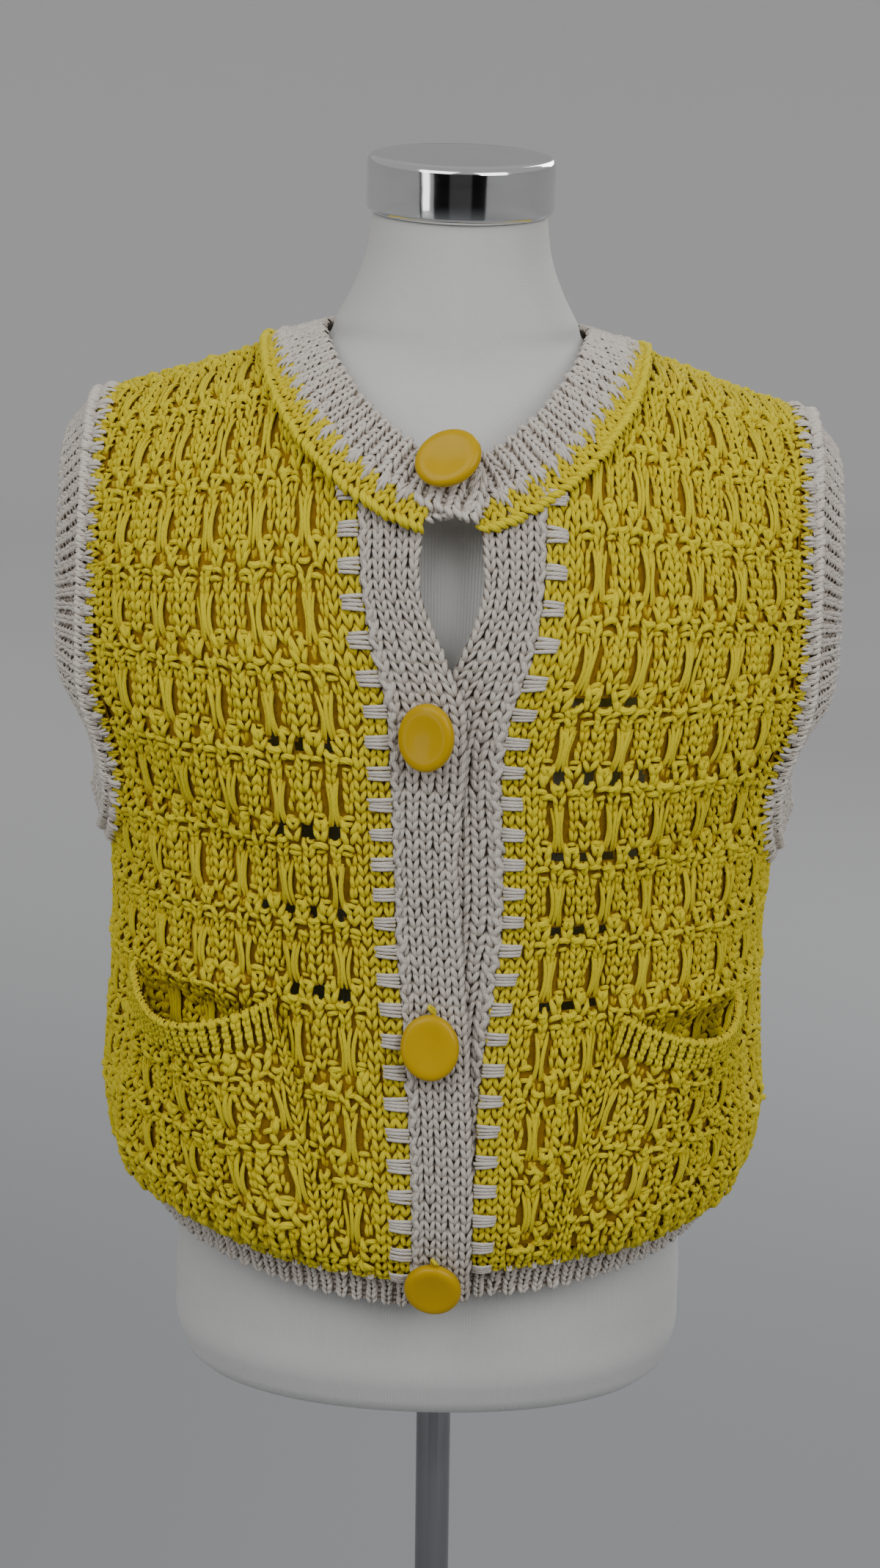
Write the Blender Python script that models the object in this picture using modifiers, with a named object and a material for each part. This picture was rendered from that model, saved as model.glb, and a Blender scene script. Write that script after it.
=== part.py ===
"""Knitted button vest on a limbless dress form.

Metres, +Z up. The front faces -Y and +X is the wearer's left. The origin is the
middle of the base's underside. The vest is a set of walls, each one laid out on
the same surface: horizontal superellipse sections up to the chest, and above
them lines that bend over to the shoulder seams.
"""
import math
from collections import namedtuple

import bmesh
import bpy
import numpy as np
from mathutils import Matrix, Vector

# ---------------------------------------------------------------- sizes
WALL = 0.0030            # thickness of the knitted cloth
SEAM = 0.0003            # clearance at a seam or where one layer lies on another
LAYER = WALL + SEAM      # height of one layer lying on another
PLACKET_GAP = 0.0007     # between a placket and its panel, whose rows differ

CHEST_HEIGHT = 1.220     # the shoulder part starts here
SECTION_POWER = 2.3      # how square the body's sections are
SHOULDER_TIP_X = 0.200   # where the armhole meets the shoulder seam
SHOULDER_Y = 0.008       # the shoulder seam lies this far behind the middle
HEM_HEIGHT = 0.884       # lower edge of the lace body
BODY_BOTTOM = 0.850      # lowest section of the vest's surface
UNDERARM_HEIGHT = 1.108
ARMHOLE_ROUND = 0.050    # height of the round part at the armhole's foot
ARMHOLE_TURN = 26.0      # degrees that the armhole cuts into the section

Section = namedtuple("Section", "height half_width front back")
BODY_SECTIONS = (
    Section(0.850, 0.163, 0.120, 0.116),
    Section(0.866, 0.166, 0.122, 0.118),
    Section(0.880, 0.171, 0.125, 0.121),
    Section(0.892, 0.181, 0.131, 0.127),
    Section(0.908, 0.188, 0.136, 0.131),
    Section(0.935, 0.192, 0.138, 0.133),
    Section(0.975, 0.191, 0.138, 0.131),
    Section(1.025, 0.188, 0.136, 0.128),
    Section(1.075, 0.187, 0.134, 0.125),
    Section(1.110, 0.190, 0.133, 0.124),
    Section(1.140, 0.199, 0.133, 0.124),
    Section(1.170, 0.209, 0.134, 0.124),
    Section(1.200, 0.216, 0.134, 0.124),
    Section(1.230, 0.218, 0.134, 0.124),
)

TORSO_SECTIONS = (
    Section(0.768, 0.118, 0.068, 0.075),
    Section(0.776, 0.139, 0.088, 0.095),
    Section(0.792, 0.150, 0.099, 0.106),
    Section(0.823, 0.1530, 0.103, 0.110),
    Section(0.865, 0.151, 0.102, 0.109),
    Section(0.910, 0.145, 0.098, 0.104),
    Section(0.960, 0.133, 0.093, 0.094),
    Section(1.010, 0.121, 0.088, 0.086),
    Section(1.055, 0.117, 0.086, 0.084),
    Section(1.100, 0.122, 0.093, 0.088),
    Section(1.145, 0.131, 0.108, 0.095),
    Section(1.190, 0.139, 0.117, 0.100),
    Section(1.235, 0.146, 0.112, 0.102),
    Section(1.275, 0.156, 0.100, 0.098),
    Section(1.310, 0.168, 0.087, 0.088),
    Section(1.335, 0.172, 0.077, 0.078),
    Section(1.352, 0.160, 0.069, 0.070),
    Section(1.366, 0.140, 0.062, 0.064),
    Section(1.378, 0.1140, 0.053, 0.060),
    Section(1.3865, 0.0900, 0.050, 0.059),
    Section(1.394, 0.0735, 0.051, 0.058),
    Section(1.406, 0.0655, 0.051, 0.056),
    Section(1.420, 0.0590, 0.049, 0.054),
    Section(1.440, 0.0525, 0.047, 0.053),
    Section(1.4665, 0.0490, 0.046, 0.052),
)
TORSO_POWER = 2.15
TORSO_MIDDLE_Y = 0.007

CAP_RADIUS = 0.053
CAP_HEIGHT = 0.031
CAP_TILT = math.radians(5.0)
NECK_TOP = TORSO_SECTIONS[-1].height
NECK_MIDDLE_Y = 0.003
NECK_TILT_START = 1.420

LEAN = math.radians(1.0)          # the form stands a little off plumb
TORSO_BOTTOM = TORSO_SECTIONS[0].height
POLE_RADIUS = 0.0105
COLLAR_RADIUS = 0.022
COLLAR_HEIGHT = 0.018
BASE_RADIUS = 0.165
BASE_HEIGHT = 0.014
FORM_OFFSET_X = -0.006            # the torso sits a little off the pole's axis

# Neck opening, on the cloth: x, and d measured from the shoulder line along the
# cloth, towards the front. The halves meet at an angle at the centre front.
NECK_HALF_WIDTH = 0.074
NECK_FRONT_DROP = 0.147
NECK_BACK_DROP = 0.060
NECK_CENTRE_SHIFT = 0.020
NECK_POWER = 1.9
NECKBAND_WIDTH = 0.026
NECK_BORDER_WIDTH = 0.0125
NECK_BORDER_BACK_WIDTH = 0.0085
NECK_END_PAST_CENTRE = 0.018
NECK_RIB_PITCH = 0.0094
NECK_BORDER_STEP = 0.024
NECK_CUT = 0.020                  # the body's edge under the band

ARMBAND_WIDTH = 0.028
ARMBAND_RIB_PITCH = 0.0114
ARMBAND_OUT = 0.64                # how far the band points sideways, 0 to 1
ARMBAND_FOOT_OUT = 0.30           # and at the underarm
ARMHOLE_MIDDLE_Z = 1.235

HEM_BAND_DEPTH = 0.021
HEM_LAP = 0.001
HEM_INSET = 0.0012                # the band lies this far inside the body
HEM_RIB_PITCH = 0.0126
HEM_END_GAP = 0.0016              # from the band's ends to the plackets
RIGHT_FRONT_DROP = 0.007          # the wearer's right front hangs lower at the centre
HEM_SIDE_RISE = 0.025             # the hem is higher at the side seams

PLACKET_TURN_HEIGHT = 1.236       # above this the two plackets part
PLACKET_BOTTOM = 0.872
ROW_CROWDING = 1.2                # brings the plackets' rows closer near the hem

# Placket edges seen from the front: height, outer seam of each placket, and how
# wide each one is there.
PlacketRow = namedtuple("PlacketRow", "height right_seam right_width left_seam left_width")
PLACKET_ROWS = (
    PlacketRow(0.850, -0.0090, 0.033, 0.0240, 0.032),
    PlacketRow(0.900, -0.0095, 0.033, 0.0240, 0.032),
    PlacketRow(0.945, -0.0110, 0.034, 0.0240, 0.033),
    PlacketRow(0.990, -0.0145, 0.035, 0.0255, 0.037),
    PlacketRow(1.035, -0.0185, 0.036, 0.0290, 0.041),
    PlacketRow(1.085, -0.0235, 0.036, 0.0345, 0.044),
    PlacketRow(1.135, -0.0268, 0.036, 0.0335, 0.044),
    PlacketRow(1.180, -0.0295, 0.041, 0.0312, 0.043),
    PlacketRow(1.212, -0.0325, 0.043, 0.0368, 0.042),
    PlacketRow(1.240, -0.0400, 0.038, 0.0455, 0.038),
    PlacketRow(1.275, -0.0470, 0.031, 0.0505, 0.032),
    PlacketRow(1.305, -0.0495, 0.034, 0.0513, 0.035),
    PlacketRow(1.340, -0.0510, 0.038, 0.0500, 0.040),
)

# Soft folds of the body: where each one starts and ends (x, height), how wide it
# is and how far it stands out; a trough is negative. The x of a side fold is
# given along the section, so it reaches past the half width.
Fold = namedtuple("Fold", "face x_low low x_high high width depth")
FOLDS = (
    Fold("right_front", -0.052, 0.885, -0.090, 1.050, 0.016, -0.0050),
    Fold("right_front", -0.078, 0.900, -0.120, 1.030, 0.022, 0.0045),
    Fold("right_front", -0.110, 1.120, -0.188, 1.170, 0.020, -0.0040),
    Fold("right_front", -0.070, 1.120, -0.075, 1.230, 0.038, 0.0050),
    Fold("left_front", 0.072, 0.885, 0.092, 1.045, 0.016, -0.0050),
    Fold("left_front", 0.104, 0.895, 0.128, 1.020, 0.022, 0.0045),
    Fold("left_front", 0.120, 1.110, 0.186, 1.165, 0.020, -0.0045),
    Fold("left_front", 0.075, 1.120, 0.078, 1.230, 0.038, 0.0050),
    Fold("back", -0.105, 0.890, -0.085, 1.120, 0.020, -0.0050),
    Fold("back", -0.030, 0.890, -0.045, 1.080, 0.024, 0.0045),
    Fold("back", 0.055, 0.890, 0.040, 1.130, 0.018, -0.0050),
    Fold("back", 0.125, 0.900, 0.105, 1.060, 0.022, 0.0050),
)

# Eyelets wider than 4 mm: which panel, height, x of the first one, and how many.
EyeletRow = namedtuple("EyeletRow", "panel height first_x count")
EYELET_PITCH = 0.0113
EYELET_SIZE = (0.0056, 0.0064)
EYELET_ROWS = (
    EyeletRow("front_right", 1.190, -0.086, 4),
    EyeletRow("front_right", 1.142, -0.088, 4),
    EyeletRow("front_right", 1.095, -0.072, 3),
    EyeletRow("front_right", 1.050, -0.066, 3),
    EyeletRow("front_left", 1.218, 0.074, 4),
    EyeletRow("front_left", 1.176, 0.068, 5),
    EyeletRow("front_left", 1.130, 0.064, 4),
    EyeletRow("front_left", 1.087, 0.060, 3),
    EyeletRow("front_left", 1.043, 0.056, 3),
    EyeletRow("back", 1.205, -0.075, 4),
    EyeletRow("back", 1.205, 0.045, 4),
    EyeletRow("back", 1.160, -0.070, 4),
    EyeletRow("back", 1.160, 0.040, 4),
    EyeletRow("back", 1.115, -0.060, 3),
    EyeletRow("back", 1.115, 0.040, 3),
)

# Buttons: x and height of the middle on the cloth, size along its own axes, turn
# in the cloth's plane, and how it tips towards +X and up, all in degrees.
Button = namedtuple("Button", "name x height width length turn tip_side tip_up layers")
BUTTONS = (
    Button("button_1", -0.0030, 1.3355, 0.0370, 0.0325, 24.0, -14.0, 6.0, 3),
    Button("button_2", -0.0103, 1.1980, 0.0320, 0.0380, -8.0, -24.0, 0.0, 1),
    Button("button_3", -0.0033, 1.0255, 0.0325, 0.0370, 6.0, -4.0, 8.0, 1),
    Button("button_4", 0.0030, 0.8885, 0.0325, 0.0330, 20.0, -6.0, 10.0, 1),
)
BUTTON_THICKNESS = 0.0095
BUTTON_LIFT = 0.0012
SHANK_GAP = 0.0010                # from the shank's foot to the lower placket
NECK_SETTLE = 0.0007              # the lower neckband lies this much closer in
SHANK_RADIUS = 0.0024
BUTTONHOLE_RADIUS = 0.0042

YELLOW = (0.80, 0.56, 0.02)
BEIGE = (0.72, 0.64, 0.56)
BUTTON_YELLOW = (0.86, 0.50, 0.01)
FORM_WHITE = (0.84, 0.84, 0.83)
CHROME = (0.80, 0.80, 0.80)


# ---------------------------------------------------------------- scene
def clear_scene():
    """Remove the start-up objects."""
    for obj in list(bpy.data.objects):
        bpy.data.objects.remove(obj)


def new_collection(name):
    collection = bpy.data.collections.new(name)
    bpy.context.scene.collection.children.link(collection)
    return collection


def make_material(name, colour, roughness, metallic=0.0):
    material = bpy.data.materials.new(name)
    material.use_nodes = True
    shader = material.node_tree.nodes["Principled BSDF"]
    shader.inputs["Base Color"].default_value = (*colour, 1.0)
    shader.inputs["Roughness"].default_value = roughness
    shader.inputs["Metallic"].default_value = metallic
    return material


# ---------------------------------------------------------------- small maths
def smooth_column(x, stations, values):
    """Cubic curve through a table's column."""
    x = np.asarray(x, dtype=float)
    stations = np.asarray(stations, dtype=float)
    values = np.asarray(values, dtype=float)
    slopes = np.gradient(values, stations)
    index = np.clip(np.searchsorted(stations, x) - 1, 0, len(stations) - 2)
    width = stations[index + 1] - stations[index]
    t = np.clip((x - stations[index]) / width, 0.0, 1.0)
    first = (1 + 2 * t) * (1 - t) ** 2 * values[index]
    first_slope = t * (1 - t) ** 2 * width * slopes[index]
    last = t ** 2 * (3 - 2 * t) * values[index + 1]
    last_slope = t ** 2 * (t - 1) * width * slopes[index + 1]
    return first + first_slope + last + last_slope


def section_values(z, sections):
    heights = [s.height for s in sections]
    columns = ("half_width", "front", "back")
    return [smooth_column(z, heights, [getattr(s, c) for s in sections]) for c in columns]


def smooth_step(t):
    t = np.clip(t, 0.0, 1.0)
    return t * t * (3 - 2 * t)


def unit(vectors):
    return vectors / np.maximum(np.linalg.norm(vectors, axis=-1, keepdims=True), 1e-12)


def running_length(points):
    steps = np.linalg.norm(np.diff(points, axis=0), axis=1)
    return np.concatenate(([0.0], np.cumsum(steps)))


def signed_power(value, power):
    return np.sign(value) * np.abs(value) ** power


# ---------------------------------------------------------------- vest surface
LEVEL_STEP = 0.005                # height between the dense rows of the body
BODY_LEVELS = int(round((CHEST_HEIGHT - BODY_BOTTOM) / LEVEL_STEP))
YOKE_LEVELS = 60                  # dense rows from the chest to the shoulder seam
ANGLES = np.linspace(-90.0, 90.0, 181)


def level_of_height(z):
    """Row number of a height at or below the chest."""
    return (z - BODY_BOTTOM) / LEVEL_STEP


def shoulder_height(x):
    """The shoulder line falls away from the neck."""
    return 1.356 + 0.36 * (0.204 - np.sqrt(x ** 2 + 0.06 ** 2))


def fold_relief(face_name, x, z):
    """Height of the soft folds above the plain surface."""
    relief = np.zeros_like(x)
    for fold in FOLDS:
        if fold.face != face_name:
            continue
        run = np.array([fold.x_high - fold.x_low, fold.high - fold.low])
        length = np.linalg.norm(run)
        along = ((x - fold.x_low) * run[0] + (z - fold.low) * run[1]) / length
        across = ((x - fold.x_low) * run[1] - (z - fold.low) * run[0]) / length
        past = np.maximum(np.maximum(-along, along - length), 0.0)
        relief += fold.depth * np.exp(-(across / fold.width) ** 2 - (past / 0.025) ** 2)
    return relief


class Face:
    """One face of the vest as a dense grid: rows go up, columns go from -X to +X."""

    def __init__(self, name, facing, drop=0.0):
        self.name = name
        self.facing = facing
        body = self.body_rows()
        yoke = self.yoke_rows()
        points = np.concatenate((body, yoke[1:]), axis=0)
        if drop:
            half = section_values(np.minimum(points[..., 2], CHEST_HEIGHT), BODY_SECTIONS)[0]
            share = 1.0 - np.clip(np.abs(points[..., 0]) / half, 0.0, 1.0)
            share = np.where(points[..., 0] > 0, 1.0, share)
            points[..., 2] -= drop * share * smooth_step((CHEST_HEIGHT - points[..., 2]) / 0.34)
        half = section_values(np.minimum(points[..., 2], CHEST_HEIGHT), BODY_SECTIONS)[0]
        side_share = np.clip(np.abs(points[..., 0]) / half, 0.0, 1.0) ** 2
        points[..., 2] += HEM_SIDE_RISE * side_share * smooth_step((1.10 - points[..., 2]) / 0.26)
        plain = self.normals_of(points)
        fade = smooth_step((points[..., 2] - 0.885) / 0.030)
        relief = fold_relief(name, points[..., 0], points[..., 2]) * fade
        self.points = points + plain * relief[..., None]
        self.normals = self.normals_of(self.points)
        steps = np.linalg.norm(np.diff(points[BODY_LEVELS:], axis=0), axis=2)
        self.to_shoulder = np.zeros(points.shape[:2])
        self.to_shoulder[BODY_LEVELS:-1] = np.cumsum(steps[::-1], axis=0)[::-1]

    def body_rows(self):
        z = BODY_BOTTOM + LEVEL_STEP * np.arange(BODY_LEVELS + 1)
        half, front, back = section_values(z, BODY_SECTIONS)
        depth = front if self.facing < 0 else back
        angle = np.radians(ANGLES)
        power = 2.0 / SECTION_POWER
        x = half[:, None] * signed_power(np.sin(angle), power)
        y = self.facing * depth[:, None] * np.abs(np.cos(angle)) ** power
        return np.stack((x, y, np.broadcast_to(z[:, None], x.shape)), axis=-1)

    def yoke_rows(self):
        chest = self.body_rows()[-1]
        turn = np.linspace(0.0, math.pi / 2, YOKE_LEVELS + 1)[:, None]
        depth_power, height_power = (0.91, 1.0) if self.facing < 0 else (0.82, 0.86)
        inward = np.abs(np.cos(turn)) ** depth_power
        upward = np.sin(turn) ** height_power
        x = np.broadcast_to(chest[:, 0], (YOKE_LEVELS + 1, len(ANGLES)))
        y = SHOULDER_Y + (chest[:, 1] - SHOULDER_Y) * inward
        z = CHEST_HEIGHT + (shoulder_height(x) - CHEST_HEIGHT) * upward
        return np.stack((x, y, z), axis=-1)

    def normals_of(self, points):
        along_rows = np.gradient(points, axis=1)
        up_columns = np.gradient(points, axis=0)
        return unit(np.cross(along_rows, up_columns) * -self.facing)

    def sample(self, grid, level, angle):
        row = np.clip(np.asarray(level, dtype=float), 0, grid.shape[0] - 1.000001)
        column = np.clip(np.asarray(angle, dtype=float) + 90.0, 0, grid.shape[1] - 1.000001)
        r = row.astype(int)
        c = column.astype(int)
        fr = row - r
        fc = column - c
        if grid.ndim == 3:
            fr = fr[..., None]
            fc = fc[..., None]
        low = grid[r, c] * (1 - fc) + grid[r, c + 1] * fc
        high = grid[r + 1, c] * (1 - fc) + grid[r + 1, c + 1] * fc
        return low * (1 - fr) + high * fr

    def at(self, level, angle):
        """Point and outward normal at a row number and an angle."""
        return self.sample(self.points, level, angle), unit(self.sample(self.normals, level, angle))

    def angle_of_x(self, x, level):
        z = np.minimum(BODY_BOTTOM + LEVEL_STEP * np.asarray(level, dtype=float), CHEST_HEIGHT)
        half = section_values(z, BODY_SECTIONS)[0]
        ratio = np.clip(np.abs(x) / half, 0.0, 1.0) ** (SECTION_POWER / 2)
        return np.sign(x) * np.degrees(np.arcsin(ratio))

    def level_of_distance(self, angle, distance):
        """Row number at a distance from the shoulder line, measured on the cloth."""
        rows = np.arange(self.points.shape[0], dtype=float)
        lengths = self.sample(self.to_shoulder, rows, np.full_like(rows, angle))
        yoke = slice(BODY_LEVELS, None)
        return np.interp(-distance, -lengths[yoke], rows[yoke])


TOP_LEVEL = BODY_LEVELS + YOKE_LEVELS


def armhole_angle(level):
    """Angle at which a panel ends: the side seam, then the armhole's edge."""
    z = BODY_BOTTOM + LEVEL_STEP * np.asarray(level, dtype=float)
    rise = np.clip((z - UNDERARM_HEIGHT) / ARMHOLE_ROUND, 0.0, 1.0)
    return 90.0 - ARMHOLE_TURN * np.sqrt(1.0 - (1.0 - rise) ** 2)


# ---------------------------------------------------------------- neck opening
def neck_front(x):
    """Distance from the shoulder line to the neck edge of the half at +x."""
    reach = NECK_HALF_WIDTH + NECK_CENTRE_SHIFT
    t = np.clip((x + NECK_CENTRE_SHIFT) / reach, 0.0, 1.0)
    return NECK_FRONT_DROP * (1 - t ** NECK_POWER) ** (1 / NECK_POWER)


def neck_half_path(start_x, count=240):
    """The half at +x as (x, d) points, from the centre front to the centre back."""
    reach = NECK_HALF_WIDTH + NECK_CENTRE_SHIFT
    t_start = (start_x + NECK_CENTRE_SHIFT) / reach
    turn = np.linspace(math.asin(t_start ** (NECK_POWER / 2)), math.pi / 2, count)
    front_x = reach * np.sin(turn) ** (2 / NECK_POWER) - NECK_CENTRE_SHIFT
    front_d = NECK_FRONT_DROP * np.maximum(np.cos(turn), 0.0) ** (2 / NECK_POWER)
    turn = np.linspace(0.0, math.pi / 2, count)[1:]
    back_x = NECK_HALF_WIDTH * np.cos(turn)
    back_d = -NECK_BACK_DROP * np.sin(turn)
    x = np.concatenate((front_x, back_x))
    d = np.concatenate((front_d, back_d))
    return np.stack((x, d), axis=1)


def resample(points, count):
    """Evenly spaced points along a line."""
    length = running_length(points)
    wanted = np.linspace(0.0, length[-1], count)
    return np.stack([np.interp(wanted, length, points[:, i]) for i in range(points.shape[1])], 1)


def distance_outside_neck(x, d):
    """How far a point of the cloth lies outside the neck edge."""
    edge = neck_half_path(0.0)
    gaps = np.hypot(np.abs(x) - edge[:, 0], d - edge[:, 1])
    nearest = int(np.argmin(gaps))
    before = edge[max(nearest - 1, 0)]
    after = edge[min(nearest + 1, len(edge) - 1)]
    run = after - before
    to_point = np.array((np.abs(x), d)) - edge[nearest]
    side = run[1] * to_point[0] - run[0] * to_point[1]
    return -gaps[nearest] if side > 0 else gaps[nearest]


# ---------------------------------------------------------------- meshes
def wall_object(name, inner, outer, material, loop=False):
    """Closed wall between two grids of points; loop joins the last column to the first."""
    rows, columns = inner.shape[:2]
    mesh = bmesh.new()
    sheets = []
    for grid in (inner, outer):
        sheets.append([[mesh.verts.new(grid[r, c]) for c in range(columns)] for r in range(rows)])
    low, high = sheets
    last = columns if loop else columns - 1
    for r in range(rows - 1):
        for c in range(last):
            n = (c + 1) % columns
            mesh.faces.new((high[r][c], high[r][n], high[r + 1][n], high[r + 1][c]))
            mesh.faces.new((low[r][c], low[r + 1][c], low[r + 1][n], low[r][n]))
    for r in (0, rows - 1):
        for c in range(last):
            n = (c + 1) % columns
            mesh.faces.new((low[r][c], low[r][n], high[r][n], high[r][c]))
    if not loop:
        for c in (0, columns - 1):
            for r in range(rows - 1):
                mesh.faces.new((low[r][c], low[r + 1][c], high[r + 1][c], high[r][c]))
    bmesh.ops.recalc_face_normals(mesh, faces=mesh.faces)
    return mesh_object(name, mesh, material)


def mesh_object(name, mesh, material, smooth=True):
    data = bpy.data.meshes.new(name)
    mesh.to_mesh(data)
    mesh.free()
    if smooth:
        data.shade_smooth()
        data.set_sharp_from_angle(angle=math.radians(40))
    obj = bpy.data.objects.new(name, data)
    obj.data.materials.append(material)
    model.objects.link(obj)
    return obj


def lean_with_form(obj):
    """Hang an object on the empty that carries the form's slight lean."""
    obj.parent = lean_empty
    obj.matrix_parent_inverse = Matrix.Translation((0, 0, -TORSO_BOTTOM))


def cut(obj, cutter):
    cutter.hide_render = True
    cutter.display_type = "WIRE"
    boolean = obj.modifiers.new("cut", "BOOLEAN")
    boolean.object = cutter
    boolean.solver = "EXACT"


def cutter_object(name, matrices, shape):
    """One cutter made of many boxes or prisms, each placed by its matrix."""
    mesh = bmesh.new()
    for matrix in matrices:
        if shape == "box":
            bmesh.ops.create_cube(mesh, size=1.0, matrix=matrix)
        else:
            bmesh.ops.create_cone(mesh, cap_ends=True, segments=10, radius1=1.0, radius2=1.0,
                                  depth=1.0, matrix=matrix)
    data = bpy.data.meshes.new(name)
    mesh.to_mesh(data)
    mesh.free()
    obj = bpy.data.objects.new(name, data)
    cutters.objects.link(obj)
    lean_with_form(obj)
    return obj


# ---------------------------------------------------------------- panels
def placket_value(column, z):
    heights = [row.height for row in PLACKET_ROWS]
    return smooth_column(z, heights, [getattr(row, column) for row in PLACKET_ROWS])


def row_angles(face, level, start_angle, end_angle, fractions):
    """Angles that divide one row of cloth by its length."""
    angles = np.linspace(start_angle, end_angle, 60)
    points = face.at(np.full_like(angles, level), angles)[0]
    length = running_length(points)
    return np.interp(fractions * length[-1], length, angles)


def panel_lines(face, start_of, end_of, columns, hem_level):
    """Lines of (level, angle) that run up the panel, one for each column."""
    levels = np.linspace(hem_level, TOP_LEVEL, 150)
    fractions = np.linspace(0.0, 1.0, columns)
    return levels, np.array([row_angles(face, level, start_of(level), end_of(level), fractions)
                             for level in levels])


def cut_line(face, levels, angles, rows):
    """Points and normals up one column, ended at the neck or the shoulder seam."""
    x = face.sample(face.points, levels, angles)[:, 0]
    d = face.sample(face.to_shoulder, levels, angles) * -face.facing
    last = len(levels)
    for i, level in enumerate(levels):
        if level > BODY_LEVELS and abs(x[i]) < 0.13:
            if distance_outside_neck(x[i], d[i]) < NECK_CUT:
                last = i
                break
    points = face.at(levels[:last], angles[:last])[0]
    length = running_length(points)
    top = length[-1] - (SEAM if last == len(levels) else 0.0)
    shares = np.linspace(0.0, 1.0, rows - len(HEM_ROWS))
    wanted = np.concatenate(((0.0,), HEM_ROWS, HEM_ROWS[-1] + (top - HEM_ROWS[-1]) * shares[1:]))
    return np.interp(wanted, length, levels[:last]), np.interp(wanted, length, angles[:last])


HEM_ROWS = (0.007, 0.015, 0.027)  # rows close to the curved lower edge, from it


def panel(name, face, start_of, end_of, columns, rows, material):
    """One knitted panel of the body."""
    levels, lines = panel_lines(face, start_of, end_of, columns, level_of_height(HEM_HEIGHT))
    inner = np.empty((rows, columns, 3))
    outer = np.empty((rows, columns, 3))
    for c in range(columns):
        level, angle = cut_line(face, levels, lines[:, c], rows)
        points, normals = face.at(level, angle)
        inner[:, c] = points
        outer[:, c] = points + normals * WALL
    obj = wall_object(name, inner, outer, material)
    lean_with_form(obj)
    return obj


def cut_eyelets(obj, face):
    """Open the eyelets that are wider than 4 mm."""
    matrices = []
    for row in EYELET_ROWS:
        if row.panel != obj.name:
            continue
        level = level_of_height(min(row.height, CHEST_HEIGHT))
        for i in range(row.count):
            angle = face.angle_of_x(row.first_x + i * EYELET_PITCH, level)
            point, normal = face.at(level, angle)
            size = Matrix.Diagonal((EYELET_SIZE[0], EYELET_SIZE[1], 4 * WALL, 1.0))
            turn = Vector(normal).to_track_quat("Z", "Y").to_matrix().to_4x4()
            matrices.append(Matrix.Translation(point) @ turn @ size)
    cut(obj, cutter_object("eyelets_" + obj.name, matrices, "box"))


def side_gap(level, sign):
    """Angle of the side seam or armhole edge, held back by half a seam."""
    return sign * (armhole_angle(level) - 0.12)


def build_panels(material):
    def right_start(level):
        z = BODY_BOTTOM + LEVEL_STEP * level
        return right_face.angle_of_x(placket_value("right_seam", z) - PLACKET_GAP, level)

    def left_start(level):
        z = BODY_BOTTOM + LEVEL_STEP * level
        return left_face.angle_of_x(placket_value("left_seam", z) + PLACKET_GAP, level)

    def right_side(level):
        return side_gap(level, -1)

    def left_side(level):
        return side_gap(level, 1)

    right = panel("front_right", right_face, right_start, right_side, 14, 23, material)
    left = panel("front_left", left_face, left_start, left_side, 14, 23, material)
    back = panel("back", back_face, right_side, left_side, 23, 20, material)
    for obj, face in ((right, right_face), (left, left_face), (back, back_face)):
        cut_eyelets(obj, face)


# ---------------------------------------------------------------- plackets
def placket_dip(x, z):
    """The lower placket dips behind the upper one below the keyhole."""
    upper_edge = placket_value("right_seam", z) + placket_value("right_width", z)
    under = smooth_step((upper_edge + 0.016 - x) / 0.008)
    overlap = smooth_step((PLACKET_TURN_HEIGHT - z) / 0.020 + 1.0)
    return -LAYER * 1.10 * under * overlap


def placket(name, face, seam_column, width_column, direction, upper, material):
    rows, columns = 26, 5 if upper else 7
    bottom = level_of_height(PLACKET_BOTTOM)
    levels = np.linspace(bottom, TOP_LEVEL, 200)
    shares = np.linspace(0.0, 1.0, columns)
    inner = np.empty((rows, columns, 3))
    outer = np.empty((rows, columns, 3))
    for c, share in enumerate(shares):
        z_row = BODY_BOTTOM + LEVEL_STEP * levels
        yoke_z = face.sample(face.points, levels, np.zeros_like(levels))[:, 2]
        z = np.where(levels > BODY_LEVELS, yoke_z, z_row)
        seam = placket_value(seam_column, z)
        x = seam + direction * share * placket_value(width_column, z)
        angles = np.array([face.angle_of_x(xi, li) for xi, li in zip(x, levels)])
        d = face.sample(face.to_shoulder, levels, angles)
        last = len(levels)
        for i, level in enumerate(levels):
            if level > BODY_LEVELS and distance_outside_neck(x[i], d[i]) < NECKBAND_WIDTH + 0.002:
                last = i
                break
        points, normals = face.at(levels[:last], angles[:last])
        length = running_length(points)
        wanted = length[-1] * np.linspace(0.0, 1.0, rows) ** ROW_CROWDING
        level = np.interp(wanted, length, levels[:last])
        angle = np.interp(wanted, length, angles[:last])
        height = np.interp(wanted, length, z[:last])
        points, normals = face.at(level, angle)
        rise = 0.0
        if not upper:
            side = placket_value(seam_column, height)
            side = side + direction * share * placket_value(width_column, height)
            rise = placket_dip(side, height)[:, None]
        inner[:, c] = points + normals * rise
        outer[:, c] = points + normals * (rise + WALL)
    obj = wall_object(name, inner, outer, material)
    lean_with_form(obj)
    return obj


# ---------------------------------------------------------------- neckband
def neck_point(x, d):
    """Surface point and normal at cloth coordinates near the neck."""
    face = left_face if d >= 0 else back_face
    angle = float(face.angle_of_x(x, BODY_LEVELS))
    level = face.level_of_distance(angle, abs(d))
    return face.at(level, angle)


def neck_ring(start_x):
    """Path round the neck from the lower end to the upper end, with outward 2D normals."""
    half = neck_half_path(start_x)
    other = half[::-1] * np.array((-1.0, 1.0))
    path = np.concatenate((half, other[1:]))
    return path


def outward_2d(path):
    run = unit(np.gradient(path, axis=0))
    return np.stack((run[:, 1], -run[:, 0]), axis=1) * -1.0


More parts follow.
